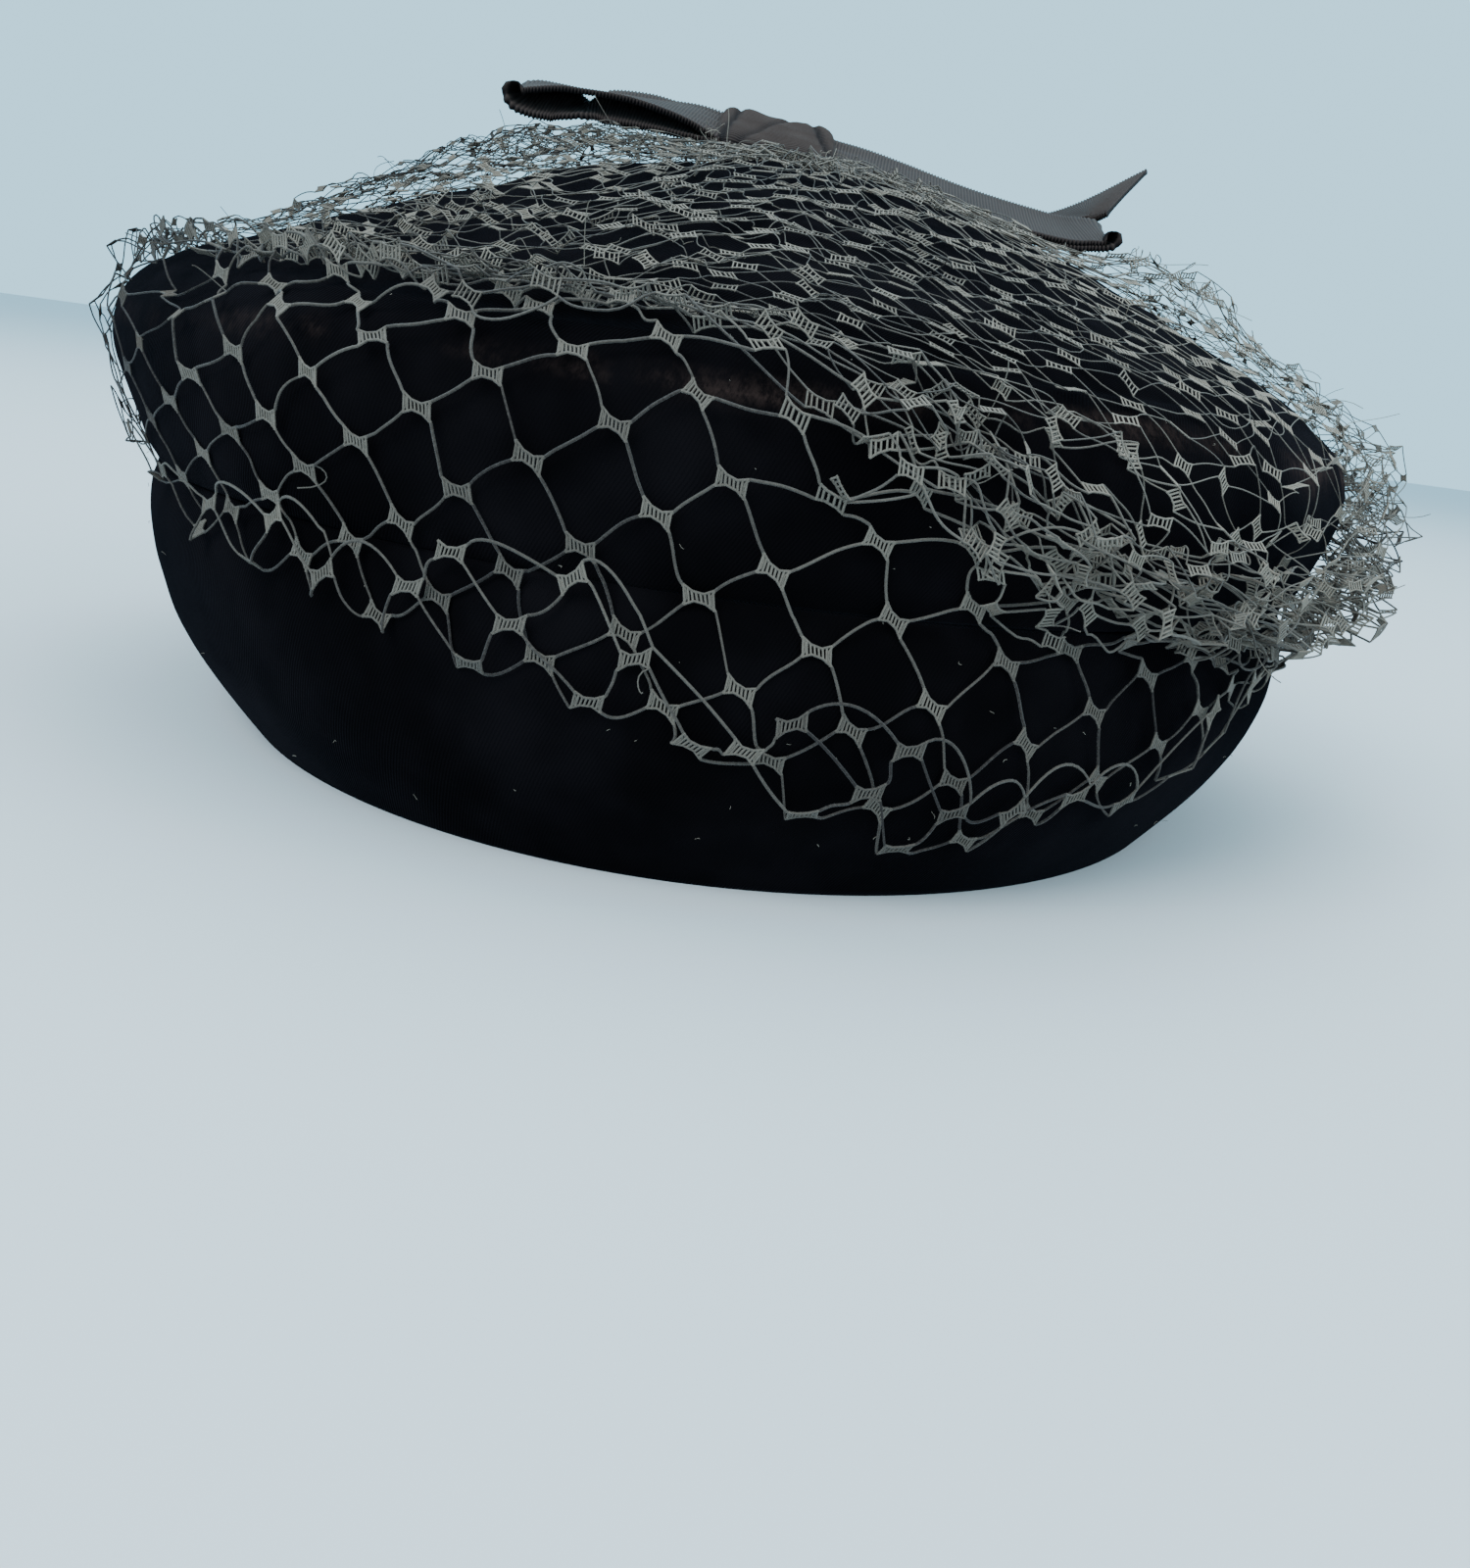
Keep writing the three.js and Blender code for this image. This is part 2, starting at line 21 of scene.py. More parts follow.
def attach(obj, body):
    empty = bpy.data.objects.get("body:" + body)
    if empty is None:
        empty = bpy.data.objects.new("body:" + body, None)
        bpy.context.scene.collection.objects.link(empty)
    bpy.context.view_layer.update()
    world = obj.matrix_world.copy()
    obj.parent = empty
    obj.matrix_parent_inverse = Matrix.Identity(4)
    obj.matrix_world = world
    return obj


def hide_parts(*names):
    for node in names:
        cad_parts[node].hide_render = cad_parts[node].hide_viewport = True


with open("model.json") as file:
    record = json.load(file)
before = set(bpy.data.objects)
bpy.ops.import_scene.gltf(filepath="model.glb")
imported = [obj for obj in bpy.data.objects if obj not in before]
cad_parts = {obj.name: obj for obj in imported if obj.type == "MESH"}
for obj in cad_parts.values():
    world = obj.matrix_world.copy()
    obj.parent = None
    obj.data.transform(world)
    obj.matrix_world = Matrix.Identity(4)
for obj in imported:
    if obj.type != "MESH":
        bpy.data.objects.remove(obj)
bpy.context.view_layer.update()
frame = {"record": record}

LOG = logging.getLogger("veiled_beret")
MM = 0.001
ROOT = "root"


# ----------------------------------------------------------------------------------------------------------
# Node trees
# ----------------------------------------------------------------------------------------------------------


class Tree:
    """Makes nodes in one node tree, of a material or of Geometry Nodes."""

    def __init__(self, tree: bpy.types.NodeTree) -> None:
        """Keeps the tree and its links.

        Args:
            tree: the node tree to add to.
        """
        self.tree = tree

    def node(self, kind: str, settings: dict[str, Any] | None = None,
             sockets: dict[str | int, Any] | None = None) -> bpy.types.Node:
        """Adds a node.

        Args:
            kind: the node's type.
            settings: its settings, set before its sockets.
            sockets: a value or a wire for each of its inputs, by name, identifier or number.

        Returns:
            The new node.
        """
        made = self.tree.nodes.new(kind)
        for name, value in (settings or {}).items():
            setattr(made, name, value)
        for name, value in (sockets or {}).items():
            self.feed(find_socket(made.inputs, name), value)
        return made

    def feed(self, socket: bpy.types.NodeSocket, value: Any) -> None:
        """Sets an input to a plain value, or links a wire or a socket to it.

        Args:
            socket: the input.
            value: a number, colour, vector, material, wire or output socket.
        """
        if isinstance(value, Wire):
            value = value.socket
        if isinstance(value, bpy.types.NodeSocket):
            self.tree.links.new(value, socket)
        else:
            socket.default_value = value

    def wire(self, kind: str, settings: dict[str, Any] | None = None,
             sockets: dict[str | int, Any] | None = None, output: str | int = 0) -> "Wire":
        """Adds a node and returns one of its outputs, ready for sums.

        Args:
            kind: the node's type.
            settings: its settings.
            sockets: values or wires for its inputs.
            output: which output, by name or number.

        Returns:
            The output as a wire.
        """
        made = self.node(kind, settings, sockets)
        return Wire(self, find_socket(made.outputs, output))


def find_socket(sockets: Any, name: str | int) -> bpy.types.NodeSocket:
    """A node's socket by number, identifier or name.

    Args:
        sockets: the node's inputs or outputs.
        name: which one.

    Returns:
        The socket.
    """
    if isinstance(name, int):
        return sockets[name]
    for socket in sockets:
        if socket.identifier == name:
            return socket
    return sockets[name]


class Wire:
    """A number on its way through a node tree, which adds Math nodes as it is used in sums."""

    def __init__(self, tree: Tree, socket: bpy.types.NodeSocket) -> None:
        """Wraps an output socket.

        Args:
            tree: the tree that it belongs to.
            socket: the output.
        """
        self.tree = tree
        self.socket = socket

    def math(self, operation: str, *others: Any, first: Any = None) -> "Wire":
        """Adds a Math node.

        Args:
            operation: the node's operation.
            others: the operands after this one.
            first: an operand that comes before this one.

        Returns:
            Its result.
        """
        operands = [self, *others] if first is None else [first, self, *others]
        return self.tree.wire("ShaderNodeMath", {"operation": operation}, dict(enumerate(operands)))

    def __add__(self, other: Any) -> "Wire":
        """Sum."""
        return self.math("ADD", other)

    __radd__ = __add__

    def __sub__(self, other: Any) -> "Wire":
        """Difference."""
        return self.math("SUBTRACT", other)

    def __rsub__(self, other: Any) -> "Wire":
        """Difference, the other way round."""
        return self.math("SUBTRACT", first=other)

    def __mul__(self, other: Any) -> "Wire":
        """Product."""
        return self.math("MULTIPLY", other)

    __rmul__ = __mul__

    def sine(self) -> "Wire":
        """Sine of a number of radians."""
        return self.math("SINE")

    def clipped(self) -> "Wire":
        """The number held between 0 and 1."""
        return self.math("MINIMUM", 1.0).math("MAXIMUM", 0.0)

    def eased(self, low: float, high: float) -> "Wire":
        """A smooth rise from 0 at low to 1 at high.

        Args:
            low: where it leaves 0.
            high: where it reaches 1.

        Returns:
            The eased number.
        """
        return self.tree.wire("ShaderNodeMapRange", {"interpolation_type": "SMOOTHSTEP"},
                              {"Value": self, "From Min": low, "From Max": high})


class Cloth(Tree):
    """The node tree of one cloth material."""

    def __init__(self, name: str, **constants: Any) -> None:
        """Starts a material with a Principled shader.

        Args:
            name: the material's name.
            constants: values for the shader's own sockets, with underscores for spaces.
        """
        self.material = bpy.data.materials.new(name)
        self.material.use_nodes = True
        super().__init__(self.material.node_tree)
        self.shader = self.tree.nodes["Principled BSDF"]
        for socket, value in constants.items():
            self.shader.inputs[socket.replace("_", " ")].default_value = value

    def place(self) -> bpy.types.NodeSocket:
        """Object coordinates."""
        return self.node("ShaderNodeTexCoord").outputs["Object"]

    def flat(self) -> tuple[Wire, Wire]:
        """The piece's own flat coordinates, in metres.

        Returns:
            The place across the cloth and the place down it.
        """
        uv = self.node("ShaderNodeUVMap", {"uv_map": "flat"})
        split = self.node("ShaderNodeSeparateXYZ", sockets={0: uv.outputs[0]})
        return Wire(self, split.outputs[0]), Wire(self, split.outputs[1])

    def painted(self, name: str) -> Wire:
        """A value that the mesh carries at its corners.

        Args:
            name: the attribute's name.

        Returns:
            The value.
        """
        return self.wire("ShaderNodeAttribute", {"attribute_name": name}, output="Fac")

    def noise(self, scale: float, detail: float = 2.0, roughness: float = 0.5,
              stretch: Sequence[float] = (1, 1, 1), over: bpy.types.NodeSocket | None = None) -> Wire:
        """Cloudy noise between 0 and 1.

        Args:
            scale: clouds to the metre.
            detail: how many finer layers it has.
            roughness: how strong they are.
            stretch: scales each direction.
            over: the coordinates, or None for the object's.

        Returns:
            The noise.
        """
        mapped = self.node("ShaderNodeMapping", {"vector_type": "POINT"},
                           {"Vector": over or self.place(), "Scale": tuple(stretch)})
        return self.wire("ShaderNodeTexNoise", {"noise_dimensions": "3D"},
                         {"Vector": mapped.outputs[0], "Scale": scale, "Detail": detail,
                          "Roughness": roughness})

    def mix(self, share: Any, low: Any, high: Any) -> Wire:
        """A colour between two.

        Args:
            share: 0 for the first, 1 for the second.
            low: the first colour.
            high: the second colour.

        Returns:
            The mixed colour.
        """
        low, high = (colour if isinstance(colour, Wire) else (*colour, 1.0) for colour in (low, high))
        return self.wire("ShaderNodeMix", {"data_type": "RGBA"},
                         {"Factor_Float": share, "A_Color": low, "B_Color": high}, "Result_Color")

    def dress(self, colour: Any = None, roughness: Any = None, height: Wire | None = None,
              depth: float = 0.0001) -> bpy.types.Material:
        """Feeds what changes over the surface to the shader.

        Args:
            colour: the base colour.
            roughness: the roughness.
            height: relief between 0 and 1.
            depth: how high relief 1 is, in metres.

        Returns:
            The material.
        """
        if colour is not None:
            self.feed(self.shader.inputs["Base Color"], colour)
        if roughness is not None:
            self.feed(self.shader.inputs["Roughness"], roughness)
        if height is not None:
            bump = self.node("ShaderNodeBump", sockets={"Height": height, "Distance": depth})
            self.feed(self.shader.inputs["Normal"], bump.outputs[0])
        return self.material


class Maker(Tree):
    """A Geometry Nodes tree with named inputs, run once on a mesh and then removed."""

    def __init__(self, name: str, inputs: dict[str, tuple[str, Any]]) -> None:
        """Starts the tree.

        Args:
            name: the tree's name.
            inputs: for each named input, its socket type and value.
        """
        super().__init__(bpy.data.node_groups.new(name, "GeometryNodeTree"))
        face = self.tree.interface
        face.new_socket("Geometry", in_out="INPUT", socket_type="NodeSocketGeometry")
        face.new_socket("Geometry", in_out="OUTPUT", socket_type="NodeSocketGeometry")
        self.values = {}
        for label, (kind, value) in inputs.items():
            socket = face.new_socket(label, in_out="INPUT", socket_type=kind)
            self.values[socket.identifier] = value
        self.start = self.tree.nodes.new("NodeGroupInput")
        self.end = self.tree.nodes.new("NodeGroupOutput")

    def given(self, label: str) -> Wire:
        """One of the tree's named inputs, as a wire."""
        return Wire(self, self.start.outputs[label])

    def attribute(self, name: str) -> Wire:
        """A number that the mesh carries at its points."""
        return self.wire("GeometryNodeInputNamedAttribute", {"data_type": "FLOAT"}, {"Name": name})

    def run(self, source: bpy.types.Object, result: Wire) -> bpy.types.Object:
        """Ends the tree in Realize Instances and Set Material, and turns its result into a plain mesh.

        Args:
            source: the object that the tree works on.
            result: the geometry that the tree has made.

        Returns:
            The same object, with the result as its mesh.
        """
        plain = self.wire("GeometryNodeRealizeInstances", sockets={"Geometry": result})
        dressed = self.wire("GeometryNodeSetMaterial",
                            sockets={"Geometry": plain, "Material": self.given("Material")})
        self.feed(self.end.inputs[0], dressed)
        modifier = source.modifiers.new(self.tree.name, "NODES")
        modifier.node_group = self.tree
        for identifier, value in self.values.items():
            modifier[identifier] = value
        graph = bpy.context.evaluated_depsgraph_get()
        seen = source.evaluated_get(graph)
        mesh = bpy.data.meshes.new_from_object(seen, preserve_all_data_layers=True, depsgraph=graph)
        source.modifiers.remove(modifier)
        old = source.data
        source.data = mesh
        mesh.name = source.name
        bpy.data.meshes.remove(old)
        return source


# ----------------------------------------------------------------------------------------------------------
# Meshes
# ----------------------------------------------------------------------------------------------------------


def new_object(name: str, mesh: bpy.types.Mesh) -> bpy.types.Object:
    """Puts a mesh in the scene.

    Args:
        name: the object's name.
        mesh: its mesh.

    Returns:
        The object, at the origin.
    """
    made = bpy.data.objects.new(name, mesh)
    bpy.context.scene.collection.objects.link(made)
    return made


def grid_mesh(name: str, points: np.ndarray, closed: bool = False, flat: np.ndarray | None = None,
              painted: dict[str, np.ndarray] | None = None) -> bpy.types.Mesh:
    """A smooth mesh of four-cornered faces over a grid of points.

    Args:
        name: the mesh's name.
        points: rows by columns by 3, in metres, rows down and columns to the right, seen from outside.
        closed: whether the last column joins the first.
        flat: rows by columns by 2, each point's place on the flat cloth. A closed grid has one column more.
        painted: a number for each point, by attribute name.

    Returns:
        The mesh.
    """
    rows, columns = points.shape[:2]
    across = columns if closed else columns - 1
    row, column = np.meshgrid(np.arange(rows - 1), np.arange(across), indexing="ij")
    after = (column + 1) % columns
    corners = np.stack([row * columns + column, (row + 1) * columns + column,
                        (row + 1) * columns + after, row * columns + after], axis=-1).reshape(-1, 4)
    mesh = bpy.data.meshes.new(name)
    mesh.from_pydata(points.reshape(-1, 3).tolist(), [], corners.tolist())
    if flat is not None:
        place = np.stack([np.stack([row, column], -1), np.stack([row + 1, column], -1),
                          np.stack([row + 1, column + 1], -1), np.stack([row, column + 1], -1)], axis=2)
        layer = mesh.uv_layers.new(name="flat")
        layer.data.foreach_set("uv", flat[place[..., 0], place[..., 1]].reshape(-1))
    for label, values in (painted or {}).items():
        attribute = mesh.attributes.new(label, "FLOAT", "POINT")
        attribute.data.foreach_set("value", np.ascontiguousarray(values, dtype=np.float32).reshape(-1))
    mesh.shade_smooth()
    mesh.update()
    return mesh


def bell(distance: Any) -> Any:
    """A smooth hump, 1 at 0 and nearly 0 past 2."""
    return np.exp(-np.square(distance))


def eased(value: Any, low: float, high: float) -> Any:
    """A smooth rise from 0 at low to 1 at high.

    Args:
        value: where to look.
        low: where it leaves 0.
        high: where it reaches 1.

    Returns:
        The share.
    """
    share = np.clip((value - low) / (high - low), 0, 1)
    return share * share * (3 - 2 * share)


def wrapped(angle: Any) -> Any:
    """The angle as one between -180 and 180."""
    return angle - 360 * np.round(np.asarray(angle) / 360)


class Drift:
    """Smooth noise that comes back to itself round the hat, for the wandering of cloth and thread."""

    def __init__(self, seed: int, waves_round: float, waves_down: float, terms: int = 14) -> None:
        """Draws the waves that the noise is the sum of.

        Args:
            seed: gives the same noise each time.
            waves_round: how many waves go round the hat, about.
            waves_down: how many waves there are to 100 mm down it, about.
            terms: how many waves are added up.
        """
        draw = np.random.default_rng(seed)
        self.round = np.round(draw.normal(0, waves_round, terms))
        self.down = draw.normal(0, waves_down, terms) * 2 * math.pi / 100
        self.phase = draw.uniform(0, 2 * math.pi, terms)
        self.size = math.sqrt(2 / terms)

    def at(self, angle: Any, length: Any) -> np.ndarray:
        """The noise at places on the hat, of size about 1.

        Args:
            angle: degrees round the hat.
            length: millimetres down it.

        Returns:
            The noise at each place.
        """
        turn = np.radians(np.asarray(angle))[..., None]
        waves = np.sin(self.round * turn + self.down * np.asarray(length)[..., None] + self.phase)
        return waves.sum(-1) * self.size


# ----------------------------------------------------------------------------------------------------------
# The form of the hat
# ----------------------------------------------------------------------------------------------------------


@dataclass(frozen=True)
class HatRing:
    """One ring of the velvet's outer face."""

    half_width: float
    half_depth: float
    shift_x: float
    shift_y: float
    lift: float
    lean: float

    def row(self) -> np.ndarray:
        """Its numbers as an array."""
        return np.array([self.half_width, self.half_depth, self.shift_x, self.shift_y, self.lift, self.lean])


@dataclass
class HatForm:
    """The velvet's outer face, the same as the solids have."""

    peak: HatRing = HatRing(0, 0, 1.2, 13, 100.8, -0.012)
    edge: HatRing = HatRing(111.5, 117.7, -1.6, 7.4, 62.9, -0.012)
    seam: HatRing = HatRing(100.1, 110.1, -1.3, 1.8, 38.3, -0.007)
    rim: HatRing = HatRing(84.3, 99.8, 0, 0, 0, 0)
    top_roundness: float = 1.67
    band_bulge: float = 5.5
    edge_over: float = 0.118
    edge_under: float = 0.487
    dip_depth: float = 2.8
    dip_angle: float = 180
    dip_sharpness: float = 1.5
    origin: np.ndarray = field(init=False)

    def __post_init__(self) -> None:
        """Finds the rim's centre, where the head's opening is, and the lengths down the velvet."""
        openings = frame["record"]["physics"]["openings"]
        low, high = next(opening["box_m"] for opening in openings if opening["name"] == "head_hollow")
        self.origin = np.array([(low[0] + high[0]) / 2, (low[1] + high[1]) / 2, 0.0])
        rings = [self.peak, self.edge, self.seam, self.rim]
        spans = [math.hypot(lower.half_depth - upper.half_depth, lower.lift - upper.lift)
                 for upper, lower in zip(rings, rings[1:])]
        self.lengths = np.concatenate([[0.0], np.cumsum(spans)])
        turn = np.radians(np.linspace(-540, 360, 3601))
        step = np.hypot(self.edge.half_width * np.sin(turn), self.edge.half_depth * np.cos(turn))
        arc = np.concatenate([[0.0], np.cumsum((step[1:] + step[:-1]) / 2 * np.diff(turn))])
        self.arc_turns = np.degrees(turn)
        self.arcs = arc - np.interp(-90.0, self.arc_turns, arc)
        self.circumference = float(self.arcs[-1] - self.arcs[0]) * 360 / 900

    def station(self, length: Any) -> np.ndarray:
        """The station that lies a length down the velvet."""
        return np.interp(length, self.lengths, np.arange(4.0))

    def arc(self, angle: Any) -> np.ndarray:
        """The way along the widest edge from the front to an angle, in millimetres."""
        return np.interp(angle, self.arc_turns, self.arcs)

    def angle(self, arc: Any) -> np.ndarray:
        """The angle that lies a way along the widest edge from the front."""
        return np.interp(arc, self.arcs, self.arc_turns)

    def top(self, station: np.ndarray) -> np.ndarray:
        """The rings of the top, from the peak to the widest edge.

        Args:
            station: places down the top.

        Returns:
            A ring's six numbers for each.
        """
        peak, edge = self.peak.row(), self.edge.row()
        ring = peak + (edge - peak) * station[..., None]
        share = np.clip(station, 0, None) ** self.top_roundness
        ring[..., 4] = edge[4] + (peak[4] - edge[4]) * (1 - share)
        return ring

    def ring(self, station: Any) -> np.ndarray:
        """The rings of the outer face, with its rounded edge and its swelled band.

        Args:
            station: places down the hat.

        Returns:
            A ring's six numbers for each.
        """
        station = np.asarray(station, float)
        edge, seam, rim = self.edge.row(), self.seam.row(), self.rim.row()
        share = (station[..., None] - 1 + self.edge_over) / (self.edge_over + self.edge_under)
        upper = self.top(np.full_like(station, 1 - self.edge_over))
        lower = edge + (seam - edge) * self.edge_under
        from_top = upper + (edge - upper) * share
        to_side = edge + (lower - edge) * share
        rounded = from_top + (to_side - from_top) * share
        side = edge + (seam - edge) * (station[..., None] - 1)
        down = np.clip(station - 2, 0, 1)
        band = seam + (rim - seam) * down[..., None]
        band[..., :2] += (self.band_bulge * np.sin(math.pi * down))[..., None]
        choices = [station <= 1 - self.edge_over, station < 1 + self.edge_under, station <= 2]
        parts = [self.top(station), rounded, side]
        return np.select([choice[..., None] for choice in choices], parts, band)

    def point(self, angle: Any, station: Any) -> np.ndarray:
        """Points of the outer face, in millimetres from the rim's centre.

        Args:
            angle: degrees round the hat.
            station: places down it.

        Returns:
            The points.
        """
        angle, station = np.broadcast_arrays(np.asarray(angle, float), np.asarray(station, float))
        ring = self.ring(station)
        turn = np.radians(angle)
        x, y = ring[..., 0] * np.cos(turn), ring[..., 1] * np.sin(turn)
        facing = np.maximum(0, np.cos(turn - math.radians(self.dip_angle)))
        dip = self.dip_depth * facing ** self.dip_sharpness * np.sin(math.pi * np.minimum(station, 1))
        return np.stack([ring[..., 2] + x, ring[..., 3] + y, ring[..., 4] + ring[..., 5] * x - dip], axis=-1)

    def normal(self, angle: Any, station: Any, low: float = 0.0, high: float = 3.0) -> np.ndarray:
        """Outward unit normals of the outer face.

        Args:
            angle: degrees round the hat.
            station: places down it.
            low: the lowest station that belongs to this side of the seam.
            high: the highest one.

        Returns:
            The normals.
        """
        station = np.maximum(np.asarray(station, float), 0.02)
        around = self.point(angle + 0.5, station) - self.point(angle - 0.5, station)
        below = self.point(angle, np.clip(station + 0.008, low, high))
        above = self.point(angle, np.clip(station - 0.008, low, high))
        normal = np.cross(below - above, around)
        return normal / np.linalg.norm(normal, axis=-1, keepdims=True)

    def placed(self, points: np.ndarray) -> np.ndarray:
        """Points in the frame of the model, in metres.

        Args:
            points: points in millimetres from the rim's centre.

        Returns:
            The points in metres.
        """
        return points * MM + self.origin


# ----------------------------------------------------------------------------------------------------------
# Finishes
# ----------------------------------------------------------------------------------------------------------


@dataclass(frozen=True)
class VelvetFinish:
    """Black cotton velvet, ribbed very finely by its weave, worn brown where it has been rubbed."""

    pile: tuple[float, float, float] = (0.0021, 0.0018, 0.0021)
    # The second pile colour is a painted sheen: the lighter colour that crushed patches of pile are given.
    crushed_sheen: tuple[float, float, float] = (0.0050, 0.0042, 0.0050)
    worn: tuple[float, float, float] = (0.034, 0.021, 0.018)
    rib: float = 0.47
    bias: float = 55.0

    def material(self) -> bpy.types.Material:
        """The velvet: pile with a soft sheen, crushed patches of pile given a painted sheen colour, ribs on
        the bias and worn streaks.

        Returns:
            The material.
        """
        cloth = Cloth("velvet", IOR=1.1, Specular_IOR_Level=0.0, Sheen_Weight=0.02, Sheen_Roughness=0.35,
                      Sheen_Tint=(0.62, 0.66, 0.85, 1.0))
        across, down = cloth.flat()
        turn = math.radians(self.bias)
        line = across * (math.sin(turn) / (self.rib * MM)) + down * (math.cos(turn) / (self.rib * MM))
        wander = cloth.noise(160, 2)
        ribs = (line * (2 * math.pi) + wander * 2.2).sine() * 0.5 + 0.5
        crushed = cloth.noise(38, 3, 0.6)
        wear = cloth.painted("wear")
        streaks = cloth.noise(900, 3, 0.75, (1.0, 1.0, 0.3))
        worn = (wear * (streaks.eased(0.36, 0.66) * 0.85 + 0.15) * 1.2).clipped()
        # Crushed patches of pile: their roughness and relief are the cloth's own, their lighter colour is a
        # painted sheen.
        pile = cloth.mix(crushed.eased(0.35, 0.75), self.pile, self.crushed_sheen)
        colour = cloth.mix(worn, pile, self.worn)
        roughness = crushed * 0.12 + 0.78
        fluff = cloth.noise(1500, 2, 0.7)
        relief = ribs * 0.5 + fluff * 0.5 + crushed * 0.6
        return cloth.dress(colour, roughness, relief, 0.00012)


@dataclass(frozen=True)
class NetFinish:
    """Grey-green cotton netting, matt, with the twist of its thread showing."""

    dark: tuple[float, float, float] = (0.0150, 0.0105, 0.0095)
    light: tuple[float, float, float] = (0.240, 0.203, 0.162)

    def material(self) -> bpy.types.Material:
        """The netting.

        Returns:
            The material.
        """
        thread = Cloth("net", Specular_IOR_Level=0.2, Sheen_Weight=0.08, Sheen_Roughness=0.5)
        tone = thread.painted("tone")
        twist = thread.noise(2600, 2, 0.6)
        patches = thread.noise(60, 2)
        share = (tone + twist * 0.35 - 0.175 + patches * 0.3 - 0.15).clipped()
        colour = thread.mix(share, self.dark, self.light)
        return thread.dress(colour, 0.85 - twist * 0.15, twist, 0.00008)


@dataclass(frozen=True)
class RibbonFinish:
    """Taupe grosgrain ribbon, darker and more purple on its shaded side."""

    shade: tuple[float, float, float] = (0.0055, 0.0040, 0.0050)
    light: tuple[float, float, float] = (0.042, 0.029, 0.025)

    def material(self) -> bpy.types.Material:
        """The grosgrain.

        Returns:
            The material.
        """
        weave = Cloth("ribbon", Specular_IOR_Level=0.12, Sheen_Weight=0.04, Sheen_Roughness=0.4)
        # Painted shade in the hollows between the ribs and in the creases of the wrap, which darkens the
        # colour.
        valley = weave.painted("valley")
        # Painted light: the side of the ribbon that faces up takes the lit colour, the side that faces down
        # the shaded one.
        face = weave.painted("face")
        fibre = weave.noise(2200, 2, 0.6)
        patches = weave.noise(90, 2)
        share = (face * 0.8 + patches * 0.3 + fibre * 0.2 - valley * 0.8).clipped()
        colour = weave.mix(share, self.shade, self.light)
        return weave.dress(colour, 0.72 + fibre * 0.15, fibre, 0.00005)


# ----------------------------------------------------------------------------------------------------------
# The velvet
# ----------------------------------------------------------------------------------------------------------


